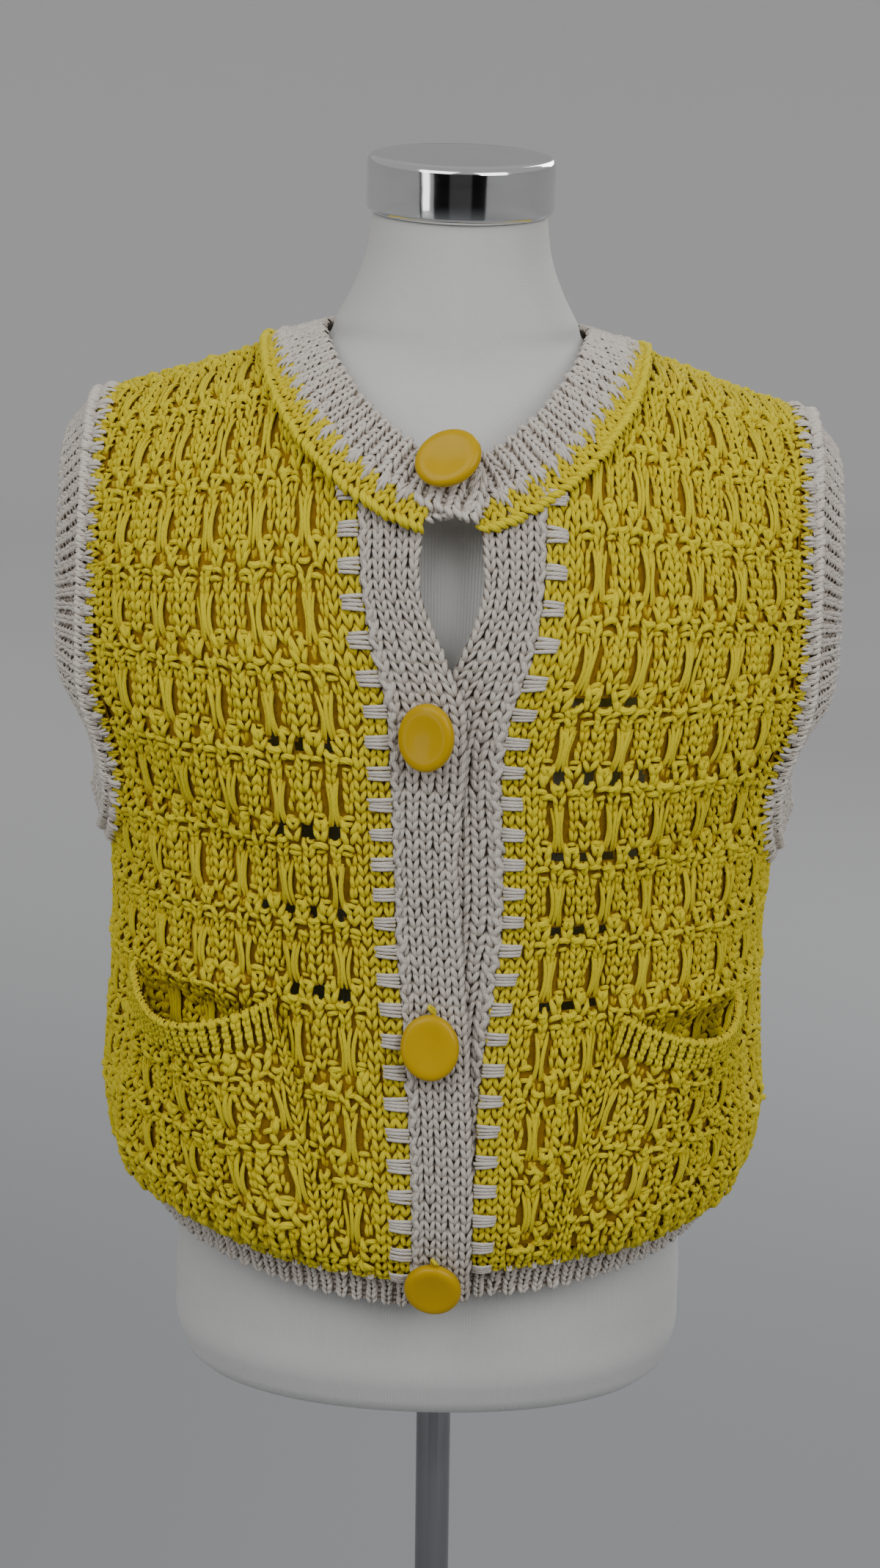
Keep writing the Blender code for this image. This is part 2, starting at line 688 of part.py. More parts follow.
def neck_strip(name, start_x, w_inner, w_outer, w_outer_back, pitch, material, ribbed):
    """A strip that follows the neck edge, between two distances from it."""
    across = 3 if ribbed else 2
    path = neck_ring(start_x)
    total = running_length(path)[-1]
    count = int(round(total / pitch)) * 2 + 1
    path = resample(path, count)
    normals_2d = outward_2d(path)
    share = np.linspace(0.0, 1.0, count)
    rise = LAYER + 0.0003 + LAYER * 1.08 * smooth_step((share - 0.83) / 0.07)
    inner = np.empty((across, count, 3))
    outer = np.empty((across, count, 3))
    for i in range(count):
        front = smooth_step(path[i, 1] / 0.080)
        reach = w_outer_back + (w_outer - w_outer_back) * front
        for j, w in enumerate(np.linspace(w_inner, reach, across)):
            x, d = path[i] + normals_2d[i] * w
            point, normal = neck_point(x, d)
            rib = 1.0 if i % 2 or not ribbed else 0.55
            inner[j, i] = point + normal * rise[i]
            outer[j, i] = point + normal * (rise[i] + (WALL - SEAM) * rib)
    obj = wall_object(name, inner, outer, material)
    lean_with_form(obj)
    return obj


# ---------------------------------------------------------------- armbands
def armhole_edge(face, sign):
    levels = np.linspace(level_of_height(UNDERARM_HEIGHT), TOP_LEVEL, 240)
    return face.at(levels, sign * armhole_angle(levels))


def armband(name, front_face, sign, material):
    """Ribbed band round one armhole, leaning outwards and into the opening."""
    front_points, front_normals = armhole_edge(front_face, sign)
    back_points, back_normals = armhole_edge(back_face, sign)
    edge = np.concatenate((front_points, back_points[::-1][1:]))
    normals = np.concatenate((front_normals, back_normals[::-1][1:]))
    count = int(round(running_length(edge)[-1] / ARMBAND_RIB_PITCH)) * 2
    both = resample(np.concatenate((edge, normals), axis=1), count + 1)[:-1]
    edge = both[:, :3]
    normals = unit(both[:, 3:])
    middle = np.array((0.0, 0.0, ARMHOLE_MIDDLE_Z))
    inward = unit((middle - edge) * np.array((0.0, 1.0, 1.0)))
    sideways = np.array((float(sign), 0.0, 0.0))
    foot = smooth_step((ARMHOLE_MIDDLE_Z - 0.035 - edge[:, 2:3]) / 0.085)
    out = ARMBAND_OUT + (ARMBAND_FOOT_OUT - ARMBAND_OUT) * foot
    run_in = np.sqrt(1 - out ** 2)
    direction = sideways * out + inward * run_in
    thick = sideways * run_in - inward * out
    start = edge + normals * (LAYER + 0.0003)
    rib = np.where(np.arange(count) % 2, 1.0, 0.5)[:, None]
    inner = np.stack((start, start + direction * ARMBAND_WIDTH))
    outer = inner + thick * (WALL * rib)
    obj = wall_object(name, inner, outer, material, loop=True)
    lean_with_form(obj)
    return obj


# ---------------------------------------------------------------- hem
def hem_band(material):
    """Ribbed band inside the body's lower edge, open at the plackets."""
    top = HEM_HEIGHT + HEM_LAP
    bottom = HEM_HEIGHT - HEM_BAND_DEPTH
    levels = [level_of_height(z) for z in (bottom, top)]
    runs = ((right_face, -1, "right_seam", False), (back_face, 1, None, True),
            (left_face, 1, "left_seam", True))
    stations = []
    for face, sign, seam, reverse in runs:
        if seam:
            end_x = placket_value(seam, HEM_HEIGHT) + sign * HEM_END_GAP
            start = float(face.angle_of_x(end_x, levels[1]))
            angles = np.linspace(start, sign * 90.0, 90)
            if reverse:
                angles = angles[::-1]
        else:
            angles = np.linspace(-90.0, 90.0, 180)
        stations += [(face, angle) for angle in angles]
    middle_line = np.array([face.at(levels[1], angle)[0] for face, angle in stations])
    length = running_length(middle_line)
    count = int(round(length[-1] / HEM_RIB_PITCH)) * 2 + 1
    numbers = np.interp(np.linspace(0, length[-1], count), length, np.arange(len(stations)))
    inner = np.empty((2, count, 3))
    outer = np.empty((2, count, 3))
    for i, number in enumerate(numbers):
        low = min(int(number), len(stations) - 2)
        share = number - low
        for j, level in enumerate(levels):
            ends = [face.at(level, angle) for face, angle in stations[low:low + 2]]
            point = ends[0][0] * (1 - share) + ends[1][0] * share
            normal = unit(ends[0][1] * (1 - share) + ends[1][1] * share)
            rib = 1.0 if i % 2 else 0.55
            inner[j, i] = point - normal * (WALL + HEM_INSET)
            outer[j, i] = inner[j, i] + normal * (WALL * rib)
    obj = wall_object("hem_band", inner, outer, material)
    lean_with_form(obj)
    return obj


# ---------------------------------------------------------------- pockets
Pocket = namedtuple("Pocket", "name sign inner_x_low inner_x_high outer_low outer_high top sag")
POCKETS = (
    Pocket("pocket_right", -1, 0.058, 0.092, 66.0, 61.0, 1.041, 0.018),
    Pocket("pocket_left", 1, 0.069, 0.104, 64.0, 60.0, 1.034, 0.016),
)
POCKET_BOTTOM = 0.896
POCKET_GAPE = 0.017
POCKET_CLEARANCE = 0.0014


def pocket(spec, face, material):
    """Patch pocket made from the panel's points, moved out, open at the top."""
    rows, columns = 9, 19
    inner = np.empty((rows, columns, 3))
    outer = np.empty((rows, columns, 3))
    for r, v in enumerate(np.linspace(0.0, 1.0, rows)):
        z = POCKET_BOTTOM + (spec.top - POCKET_BOTTOM) * v
        inner_x = spec.inner_x_low + (spec.inner_x_high - spec.inner_x_low) * v
        start = float(face.angle_of_x(spec.sign * inner_x, level_of_height(z)))
        end = spec.sign * (spec.outer_low + (spec.outer_high - spec.outer_low) * v)
        angles = row_angles(face, level_of_height(z), start, end, np.linspace(0.0, 1.0, columns))
        for c, angle in enumerate(angles):
            u = c / (columns - 1)
            mouth = math.sin(math.pi * u) * v ** 2
            sag = spec.sag * math.sin(math.pi * u) * v ** 1.6
            point, normal = face.at(level_of_height(z - sag), angle)
            rib = 0.6 if v > 0.75 and c % 2 else 1.0
            lift = LAYER + POCKET_CLEARANCE + POCKET_GAPE * mouth
            inner[r, c] = point + normal * lift
            outer[r, c] = point + normal * (lift + WALL * rib)
    lean_with_form(wall_object(spec.name, inner, outer, material))


# ---------------------------------------------------------------- buttons
def button_frame(button):
    """Matrix whose Z axis is the button's axis and whose origin is on the cloth."""
    if button.height <= CHEST_HEIGHT:
        level = level_of_height(button.height)
    else:
        rows = np.arange(BODY_LEVELS, TOP_LEVEL + 1, dtype=float)
        heights = right_face.sample(right_face.points, rows, np.zeros_like(rows))[:, 2]
        level = np.interp(button.height, heights, rows)
    angle = float(right_face.angle_of_x(button.x, level))
    point, normal = right_face.at(level, angle)
    out = Vector(normal)
    side = Vector((1.0, 0.0, 0.0))
    side = (side - out * side.dot(out)).normalized()
    up = out.cross(side)
    turn = Matrix((side, up, out)).transposed().to_4x4()
    return Matrix.Translation(point) @ turn


def under_layer(button, frame):
    """Height of the lower placket's outer face on the button's axis."""
    if button.layers > 1:
        return LAYER * (button.layers - 2) * 1.04 + WALL - NECK_SETTLE
    x, _, z = frame.translation
    level = level_of_height(z)
    point, normal = left_face.at(level, float(left_face.angle_of_x(x, level)))
    point = point + normal * (placket_dip(x, z) + WALL)
    return (frame.inverted() @ Vector(point)).z


def make_button(button, material):
    """Thick oval disc with a round rim, on a shank that passes the buttonhole."""
    frame = button_frame(button)
    outer_face = LAYER * (button.layers - 1) * 1.04 + WALL
    shank_foot = under_layer(button, frame) + SHANK_GAP
    reach = math.sin(math.radians(max(abs(button.tip_side), abs(button.tip_up)))) * 0.018
    middle = outer_face + BUTTON_LIFT + reach + BUTTON_THICKNESS / 2
    mesh = bmesh.new()
    profile = ((0.0, -0.50), (0.70, -0.48), (0.94, -0.24), (1.00, 0.10), (0.96, 0.36),
               (0.84, 0.50), (0.0, 0.47))
    segments = 20
    tip = Matrix.Rotation(math.radians(button.tip_side), 4, "Y") @ Matrix.Rotation(
        math.radians(-button.tip_up), 4, "X")
    place = Matrix.Translation((0, 0, middle)) @ tip @ Matrix.Rotation(
        math.radians(button.turn), 4, "Z")
    rings = []
    for radius, height in profile:
        ring = []
        for s in range(segments if radius else 1):
            angle = 2 * math.pi * s / segments
            local = Vector((0.5 * button.width * radius * math.cos(angle),
                            0.5 * button.length * radius * math.sin(angle),
                            BUTTON_THICKNESS * height))
            ring.append(mesh.verts.new(place @ local))
        rings.append(ring)
    for low, high in zip(rings[:-1], rings[1:]):
        for s in range(segments):
            n = (s + 1) % segments
            if len(low) == 1:
                mesh.faces.new((low[0], high[s], high[n]))
            elif len(high) == 1:
                mesh.faces.new((low[s], low[n], high[0]))
            else:
                mesh.faces.new((low[s], low[n], high[n], high[s]))
    bmesh.ops.recalc_face_normals(mesh, faces=mesh.faces)
    obj = mesh_object(button.name, mesh, material)
    obj.matrix_local = frame
    lean_with_form(obj)
    shank = bmesh.new()
    length = middle - shank_foot
    bmesh.ops.create_cone(shank, cap_ends=True, segments=10, radius1=SHANK_RADIUS,
                          radius2=SHANK_RADIUS, depth=length,
                          matrix=Matrix.Translation((0, 0, shank_foot + length / 2)))
    data = bpy.data.meshes.new("shank_" + button.name)
    shank.to_mesh(data)
    shank.free()
    tool = bpy.data.objects.new("shank_" + button.name, data)
    tool.hide_render = True
    tool.display_type = "WIRE"
    cutters.objects.link(tool)
    tool.matrix_local = frame
    lean_with_form(tool)
    union = obj.modifiers.new("shank", "BOOLEAN")
    union.operation = "UNION"
    union.object = tool
    union.solver = "EXACT"
    return frame


def cut_buttonhole(obj, frames, layers):
    """Round the yarn away where the shanks pass."""
    matrices = []
    for frame in frames:
        size = Matrix.Diagonal((BUTTONHOLE_RADIUS, BUTTONHOLE_RADIUS, 0.0052, 1.0))
        middle = LAYER * 1.04 * (layers - 1) + WALL / 2 + 0.0003
        matrices.append(frame @ Matrix.Translation((0, 0, middle)) @ size)
    cut(obj, cutter_object("buttonholes_" + obj.name, matrices, "prism"))


# ---------------------------------------------------------------- dress form
def torso(material):
    """The limbless torso with its neck, a loft of closed sections."""
    segments = 24
    mesh = bmesh.new()
    rings = []
    for section in TORSO_SECTIONS:
        ring = []
        for s in range(segments):
            angle = 2 * math.pi * (s + 0.5) / segments
            power = 2 / TORSO_POWER
            x = section.half_width * float(signed_power(np.sin(angle), power))
            front = math.cos(angle) < 0
            depth = section.front + TORSO_MIDDLE_Y if front else section.back - TORSO_MIDDLE_Y
            y = TORSO_MIDDLE_Y + depth * float(signed_power(np.cos(angle), power))
            tilt = float(smooth_step((section.height - NECK_TILT_START) / (NECK_TOP - NECK_TILT_START)))
            z = section.height + (y - NECK_MIDDLE_Y) * math.tan(CAP_TILT) * tilt
            ring.append(mesh.verts.new((x, y, z)))
        rings.append(ring)
    for low, high in zip(rings[:-1], rings[1:]):
        for s in range(segments):
            n = (s + 1) % segments
            mesh.faces.new((low[s], low[n], high[n], high[s]))
    mesh.faces.new(rings[0])
    mesh.faces.new(rings[-1])
    bmesh.ops.recalc_face_normals(mesh, faces=mesh.faces)
    obj = mesh_object("form_torso", mesh, material)
    lean_with_form(obj)


def cylinder(name, radius, height, bottom, material, bevel, segments):
    bpy.ops.mesh.primitive_cylinder_add(vertices=segments, radius=radius, depth=height,
                                        location=(0, 0, bottom + height / 2))
    obj = bpy.context.object
    obj.name = name
    obj.data.materials.append(material)
    for collection in list(obj.users_collection):
        collection.objects.unlink(obj)
    model.objects.link(obj)
    if bevel:
        edge = obj.modifiers.new("round_edges", "BEVEL")
        edge.width = bevel
        edge.segments = 2
        edge.limit_method = "ANGLE"
    return obj


def dress_form(white, chrome):
    torso(white)
    cap = cylinder("neck_cap", CAP_RADIUS, CAP_HEIGHT, 0.0, chrome, 0.0035, 28)
    rise = SEAM + CAP_HEIGHT / 2
    cap.location = (0.0, NECK_MIDDLE_Y - rise * math.sin(CAP_TILT), NECK_TOP + rise * math.cos(CAP_TILT))
    cap.rotation_euler = (CAP_TILT, 0.0, 0.0)
    lean_with_form(cap)
    collar_bottom = TORSO_BOTTOM - SEAM - 0.0004 - COLLAR_HEIGHT
    cylinder("collar", COLLAR_RADIUS, COLLAR_HEIGHT, collar_bottom, chrome, 0.0, 20)
    pole_bottom = BASE_HEIGHT + SEAM
    cylinder("pole", POLE_RADIUS, collar_bottom - SEAM - pole_bottom, pole_bottom, chrome, 0.0, 24)
    cylinder("base", BASE_RADIUS, BASE_HEIGHT, 0.0, chrome, 0.003, 28)


# ---------------------------------------------------------------- build
clear_scene()
model = new_collection("knitted_vest_on_dress_form")
cutters = new_collection("cutters")
lean_empty = bpy.data.objects.new("form_lean", None)
lean_empty.location = (FORM_OFFSET_X, 0, TORSO_BOTTOM)
lean_empty.rotation_euler = (0, LEAN, 0)
model.objects.link(lean_empty)

right_face = Face("right_front", -1, RIGHT_FRONT_DROP)
left_face = Face("left_front", -1)
back_face = Face("back", 1)

yellow = make_material("yellow_knit", YELLOW, 0.85)
beige = make_material("beige_knit", BEIGE, 0.88)
button_plastic = make_material("button_yellow", BUTTON_YELLOW, 0.25)
white_cloth = make_material("form_cloth", FORM_WHITE, 0.80)
chrome_metal = make_material("chrome", CHROME, 0.08, 1.0)

build_panels(yellow)
right_placket = placket("placket_right", right_face, "right_seam", "right_width", 1, True, beige)
placket("placket_left", left_face, "left_seam", "left_width", -1, False, beige)
neckband = neck_strip("neckband", -NECK_END_PAST_CENTRE, 0.0, NECKBAND_WIDTH, NECKBAND_WIDTH,
                      NECK_RIB_PITCH, beige, True)
neck_strip("neck_border", 0.001, NECKBAND_WIDTH + 2 * SEAM, NECKBAND_WIDTH + NECK_BORDER_WIDTH,
           NECKBAND_WIDTH + NECK_BORDER_BACK_WIDTH, NECK_BORDER_STEP, yellow, False)
armband("armband_right", right_face, -1, beige)
armband("armband_left", left_face, 1, beige)
hem_band(beige)
for pocket_spec, pocket_face in zip(POCKETS, (right_face, left_face)):
    pocket(pocket_spec, pocket_face, yellow)
button_frames = [make_button(button, button_plastic) for button in BUTTONS]
cut_buttonhole(right_placket, button_frames[1:], 1)
cut_buttonhole(neckband, button_frames[:1], 3)
dress_form(white_cloth, chrome_metal)
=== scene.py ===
"""Knitted button vest on a limbless dress form: the fine, knitted surface.

Metres, +Z up. The front faces -Y and +X is the wearer's left. Every cloth piece is
a thin shell on the same surface as its solid, and the yarn lies on the shell:
strands, loops and bumps placed on a lattice of rows and columns of stitches.
"""
import math
from collections import namedtuple

import bpy
import numpy as np
from mathutils import Matrix, Vector


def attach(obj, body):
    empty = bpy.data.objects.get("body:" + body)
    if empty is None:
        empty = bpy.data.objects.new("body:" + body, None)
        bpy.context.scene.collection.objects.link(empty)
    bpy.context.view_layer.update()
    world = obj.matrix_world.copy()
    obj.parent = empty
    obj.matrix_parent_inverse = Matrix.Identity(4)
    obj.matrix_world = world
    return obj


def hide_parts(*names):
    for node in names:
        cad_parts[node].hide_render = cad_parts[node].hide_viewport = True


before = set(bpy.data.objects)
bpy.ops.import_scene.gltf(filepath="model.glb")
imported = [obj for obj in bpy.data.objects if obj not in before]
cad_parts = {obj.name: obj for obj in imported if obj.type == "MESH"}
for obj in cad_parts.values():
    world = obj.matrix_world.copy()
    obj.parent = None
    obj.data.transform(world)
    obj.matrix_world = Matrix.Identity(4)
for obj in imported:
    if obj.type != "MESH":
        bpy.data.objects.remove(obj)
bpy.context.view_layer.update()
MM = 0.001


# ---------------------------------------------------------------- sizes
WALL = 0.0030
SEAM = 0.0003
LAYER = WALL + SEAM
CHEST_HEIGHT = 1.220
SECTION_POWER = 2.3
SHOULDER_Y = 0.008
HEM_HEIGHT = 0.884
BODY_BOTTOM = 0.850
UNDERARM_HEIGHT = 1.108
ARMHOLE_ROUND = 0.050
ARMHOLE_TURN = 26.0

Section = namedtuple("Section", "height half_width front back")
BODY_SECTIONS = [Section(*row) for row in (
    (0.850, 0.163, 0.120, 0.116), (0.866, 0.166, 0.122, 0.118),
    (0.880, 0.171, 0.125, 0.121), (0.892, 0.181, 0.131, 0.127),
    (0.908, 0.188, 0.136, 0.131), (0.935, 0.192, 0.138, 0.133),
    (0.975, 0.191, 0.138, 0.131), (1.025, 0.188, 0.136, 0.128),
    (1.075, 0.187, 0.134, 0.125), (1.110, 0.190, 0.133, 0.124),
    (1.140, 0.199, 0.133, 0.124), (1.170, 0.209, 0.134, 0.124),
    (1.200, 0.216, 0.134, 0.124), (1.230, 0.218, 0.134, 0.124),
)]
TORSO_SECTIONS = [Section(*row) for row in (
    (0.768, 0.118, 0.068, 0.075), (0.776, 0.139, 0.088, 0.095),
    (0.792, 0.150, 0.099, 0.106), (0.823, 0.1530, 0.103, 0.110),
    (0.865, 0.151, 0.102, 0.109), (0.910, 0.145, 0.098, 0.104),
    (0.960, 0.133, 0.093, 0.094), (1.010, 0.121, 0.088, 0.086),
    (1.055, 0.117, 0.086, 0.084), (1.100, 0.122, 0.093, 0.088),
    (1.145, 0.131, 0.108, 0.095), (1.190, 0.139, 0.117, 0.100),
    (1.235, 0.146, 0.112, 0.102), (1.275, 0.156, 0.100, 0.098),
    (1.310, 0.168, 0.087, 0.088), (1.335, 0.172, 0.077, 0.078),
    (1.352, 0.160, 0.069, 0.070), (1.366, 0.140, 0.0618, 0.064),
    (1.378, 0.1140, 0.0563, 0.060), (1.3865, 0.0900, 0.0536, 0.059),
    (1.394, 0.0748, 0.0522, 0.058), (1.406, 0.0685, 0.0508, 0.056),
    (1.420, 0.0610, 0.0492, 0.054), (1.440, 0.0532, 0.0473, 0.053),
    (1.4665, 0.0490, 0.046, 0.052),
)]
TORSO_POWER = 2.15
TORSO_MIDDLE_Y = 0.007
CAP_RADIUS = 0.053
CAP_HEIGHT = 0.031
CAP_TILT = math.radians(5.0)
NECK_TOP = TORSO_SECTIONS[-1].height
NECK_MIDDLE_Y = 0.003
NECK_TILT_START = 1.420
LEAN = math.radians(1.0)
TORSO_BOTTOM = TORSO_SECTIONS[0].height
POLE_RADIUS = 0.0105
COLLAR_RADIUS = 0.022
COLLAR_HEIGHT = 0.018
BASE_RADIUS = 0.165
BASE_HEIGHT = 0.014
FORM_OFFSET_X = -0.006

NECK_HALF_WIDTH = 0.074
NECK_FRONT_DROP = 0.147
NECK_BACK_DROP = 0.060
NECK_CENTRE_SHIFT = 0.020
NECK_POWER = 1.9
NECKBAND_WIDTH = 0.026
NECK_BORDER_WIDTH = 0.0125
NECK_BORDER_BACK_WIDTH = 0.0085
NECK_END_PAST_CENTRE = 0.018
NECK_CUT = 0.022

ARMBAND_WIDTH = 0.028
ARMBAND_OUT = 0.64
ARMBAND_FOOT_OUT = 0.30
ARMHOLE_MIDDLE_Z = 1.235
HEM_BAND_DEPTH = 0.021
HEM_INSET = 0.0012
RIGHT_FRONT_DROP = 0.007
HEM_SIDE_RISE = 0.025
PLACKET_TURN_HEIGHT = 1.236
PLACKET_BOTTOM = 0.872

PlacketRow = namedtuple("PlacketRow", "height right_seam right_width left_seam left_width")
PLACKET_ROWS = [PlacketRow(*row) for row in (
    (0.850, -0.0090, 0.033, 0.0240, 0.032), (0.900, -0.0095, 0.033, 0.0240, 0.032),
    (0.945, -0.0110, 0.034, 0.0240, 0.033), (0.990, -0.0145, 0.035, 0.0255, 0.037),
    (1.035, -0.0185, 0.036, 0.0290, 0.041), (1.085, -0.0235, 0.036, 0.0345, 0.044),
    (1.135, -0.0268, 0.036, 0.0335, 0.044), (1.180, -0.0295, 0.041, 0.0312, 0.043),
    (1.212, -0.0325, 0.043, 0.0368, 0.042), (1.240, -0.0400, 0.038, 0.0455, 0.038),
    (1.275, -0.0470, 0.031, 0.0505, 0.032), (1.305, -0.0495, 0.034, 0.0513, 0.035),
    (1.340, -0.0510, 0.038, 0.0500, 0.040),
)]

Fold = namedtuple("Fold", "face x_low low x_high high width depth")
FOLDS = [Fold(*row) for row in (
    ("right_front", -0.052, 0.885, -0.090, 1.050, 0.016, -0.0050),
    ("right_front", -0.078, 0.900, -0.120, 1.030, 0.022, 0.0045),
    ("right_front", -0.110, 1.120, -0.188, 1.170, 0.020, -0.0040),
    ("right_front", -0.070, 1.120, -0.075, 1.230, 0.038, 0.0050),
    ("left_front", 0.072, 0.885, 0.092, 1.045, 0.016, -0.0050),
    ("left_front", 0.104, 0.895, 0.128, 1.020, 0.022, 0.0045),
    ("left_front", 0.120, 1.110, 0.186, 1.165, 0.020, -0.0045),
    ("left_front", 0.075, 1.120, 0.078, 1.230, 0.038, 0.0050),
    ("back", -0.105, 0.890, -0.085, 1.120, 0.020, -0.0050),
    ("back", -0.030, 0.890, -0.045, 1.080, 0.024, 0.0045),
    ("back", 0.055, 0.890, 0.040, 1.130, 0.018, -0.0050),
    ("back", 0.125, 0.900, 0.105, 1.060, 0.022, 0.0050),
)]

Pocket = namedtuple("Pocket", "name sign inner_x_low inner_x_high outer_low outer_high top sag")
POCKETS = [Pocket(*row) for row in (
    ("pocket_right", -1, 0.058, 0.092, 66.0, 61.0, 1.041, 0.018),
    ("pocket_left", 1, 0.069, 0.104, 64.0, 60.0, 1.034, 0.016),
)]
POCKET_BOTTOM = 0.896
POCKET_GAPE = 0.017
POCKET_CLEARANCE = 0.0014
WELL_DEPTH = 0.014            # how far a front sinks behind the mouth of its pocket
WELL_HALF_WIDTH = 0.040

Button = namedtuple("Button", "name x height width length turn tip_side tip_up layers")
BUTTONS = [Button(*row) for row in (
    ("button_1", -0.0030, 1.3355, 0.0370, 0.0325, 24.0, -14.0, 6.0, 3),
    ("button_2", -0.0103, 1.1980, 0.0320, 0.0380, -8.0, -24.0, 0.0, 1),
    ("button_3", -0.0033, 1.0255, 0.0325, 0.0370, 6.0, -4.0, 8.0, 1),
    ("button_4", 0.0030, 0.8885, 0.0325, 0.0330, 20.0, -6.0, 10.0, 1),
)]
BUTTON_THICKNESS = 0.0095
BUTTON_LIFT = 0.0012
BUTTON_REACH = 0.018          # from a button's middle to its rim, for the room that its tilt needs
STEM_RADIUS = 0.0022


# ---------------------------------------------------------------- small maths
def smooth_column(x, stations, values):
    """Cubic curve through a table's column."""
    x = np.asarray(x, dtype=float)
    stations = np.asarray(stations, dtype=float)
    values = np.asarray(values, dtype=float)
    slopes = np.gradient(values, stations)
    index = np.clip(np.searchsorted(stations, x) - 1, 0, len(stations) - 2)
    width = stations[index + 1] - stations[index]
    t = np.clip((x - stations[index]) / width, 0.0, 1.0)
    first = (1 + 2 * t) * (1 - t) ** 2 * values[index]
    first_slope = t * (1 - t) ** 2 * width * slopes[index]
    last = t ** 2 * (3 - 2 * t) * values[index + 1]
    last_slope = t ** 2 * (t - 1) * width * slopes[index + 1]
    return first + first_slope + last + last_slope


def section_values(z, sections):
    heights = [s.height for s in sections]
    columns = ("half_width", "front", "back")
    return [smooth_column(z, heights, [getattr(s, c) for s in sections]) for c in columns]


def smooth_step(t):
    t = np.clip(t, 0.0, 1.0)
    return t * t * (3 - 2 * t)


def unit(vectors):
    return vectors / np.maximum(np.linalg.norm(vectors, axis=-1, keepdims=True), 1e-12)


def running_length(points):
    steps = np.linalg.norm(np.diff(points, axis=0), axis=1)
    return np.concatenate(([0.0], np.cumsum(steps)))


def signed_power(value, power):
    return np.sign(value) * np.abs(value) ** power


def resample(points, count):
    """Evenly spaced points along a line."""
    length = running_length(points[:, :3])
    wanted = np.linspace(0.0, length[-1], count)
    return np.stack([np.interp(wanted, length, points[:, i]) for i in range(points.shape[1])], 1)


def smooth_line(path, count):
    """Points along a smooth curve through the points of a path."""
    path = np.array(path, dtype=float)
    stations = np.linspace(0.0, 1.0, len(path))
    wanted = np.linspace(0.0, 1.0, count)
    return np.stack([smooth_column(wanted, stations, path[:, i]) for i in range(3)], axis=1)


def bilinear(grid, r, c, row_share, column_share):
    """Values of a grid between the point (r, c) and the next ones."""
    if grid.ndim == 3:
        row_share = row_share[..., None]
        column_share = column_share[..., None]
    low = grid[r, c] * (1 - column_share) + grid[r, c + 1] * column_share
    high = grid[r + 1, c] * (1 - column_share) + grid[r + 1, c + 1] * column_share
    return low * (1 - row_share) + high * row_share


def grid_quads(rows, columns, closed=False):
    """Corners of the cells of a grid of points, row by row; a closed grid's rows are rings."""
    r, c = np.meshgrid(np.arange(rows - 1), np.arange(columns - (not closed)), indexing="ij")
    low = r.ravel() * columns
    here = c.ravel()
    ahead = (here + 1) % columns
    return np.stack((low + here, low + ahead, low + columns + ahead, low + columns + here), axis=1)


def pairs_of(columns, rows):
    """Every column with every row, as two flat lists."""
    grid_c, grid_r = np.meshgrid(np.asarray(columns, dtype=float), np.asarray(rows, dtype=float))
    return grid_c.ravel(), grid_r.ravel()


def ripple(a, b, seed):
    """Slow, uneven waves between about -1 and 1."""
    value = np.zeros(np.broadcast(a, b).shape)
    shift = np.random.default_rng(seed)
    for size in (1.0, 1.7, 2.9):
        angle = shift.uniform(0, 2 * math.pi)
        phase = shift.uniform(0, 2 * math.pi)
        value = value + np.sin((a * math.cos(angle) + b * math.sin(angle)) * size + phase) / size
    return value / 1.5


def leaned(points):
    """The form and all it wears stand a little off plumb."""
    points = np.asarray(points, dtype=float)
    up = points[..., 2] - TORSO_BOTTOM
    x = points[..., 0] * math.cos(LEAN) + up * math.sin(LEAN) + FORM_OFFSET_X
    z = up * math.cos(LEAN) - points[..., 0] * math.sin(LEAN) + TORSO_BOTTOM
    return np.stack((x, points[..., 1], z), axis=-1)


# ---------------------------------------------------------------- vest surface
LEVEL_STEP = 0.005
BODY_LEVELS = int(round((CHEST_HEIGHT - BODY_BOTTOM) / LEVEL_STEP))
YOKE_LEVELS = 60
TOP_LEVEL = BODY_LEVELS + YOKE_LEVELS
ANGLES = np.linspace(-90.0, 90.0, 181)
SHOULDER_HEIGHT = 1.356
SHOULDER_SLOPE = 0.36
SHOULDER_END_X = 0.204
SHOULDER_ROUND = 0.06
FOLD_END = 0.025              # how softly a fold runs out at its ends
FOLD_FOOT = 0.885             # folds fade in above this height
FOLD_FADE = 0.030
DROP_SPAN = 0.34              # height over which the right front comes to hang lower
RISE_TOP = 1.10               # the rise of the hem at the sides starts below this height
RISE_SPAN = 0.26
YOKE_POWERS = {-1: (0.91, 1.0), 1: (0.82, 0.86)}   # inwards and upwards, for front and back


def level_of_height(z):
    return (z - BODY_BOTTOM) / LEVEL_STEP


def height_of_level(level):
    return BODY_BOTTOM + LEVEL_STEP * np.asarray(level, dtype=float)


def body_half_width(z):
    return section_values(np.minimum(z, CHEST_HEIGHT), BODY_SECTIONS)[0]


def side_share(points):
    """0 at the middle of the body, 1 at its sides."""
    return np.clip(np.abs(points[..., 0]) / body_half_width(points[..., 2]), 0.0, 1.0)


def shoulder_height(x):
    return SHOULDER_HEIGHT + SHOULDER_SLOPE * (SHOULDER_END_X - np.sqrt(x ** 2 + SHOULDER_ROUND ** 2))


def fold_relief(face_name, x, z):
    relief = np.zeros_like(x)
    for fold in FOLDS:
        if fold.face != face_name:
            continue
        run = np.array([fold.x_high - fold.x_low, fold.high - fold.low])
        length = np.linalg.norm(run)
        along = ((x - fold.x_low) * run[0] + (z - fold.low) * run[1]) / length
        across = ((x - fold.x_low) * run[1] - (z - fold.low) * run[0]) / length
        past = np.maximum(np.maximum(-along, along - length), 0.0)
        relief += fold.depth * np.exp(-(across / fold.width) ** 2 - (past / FOLD_END) ** 2)
    return relief


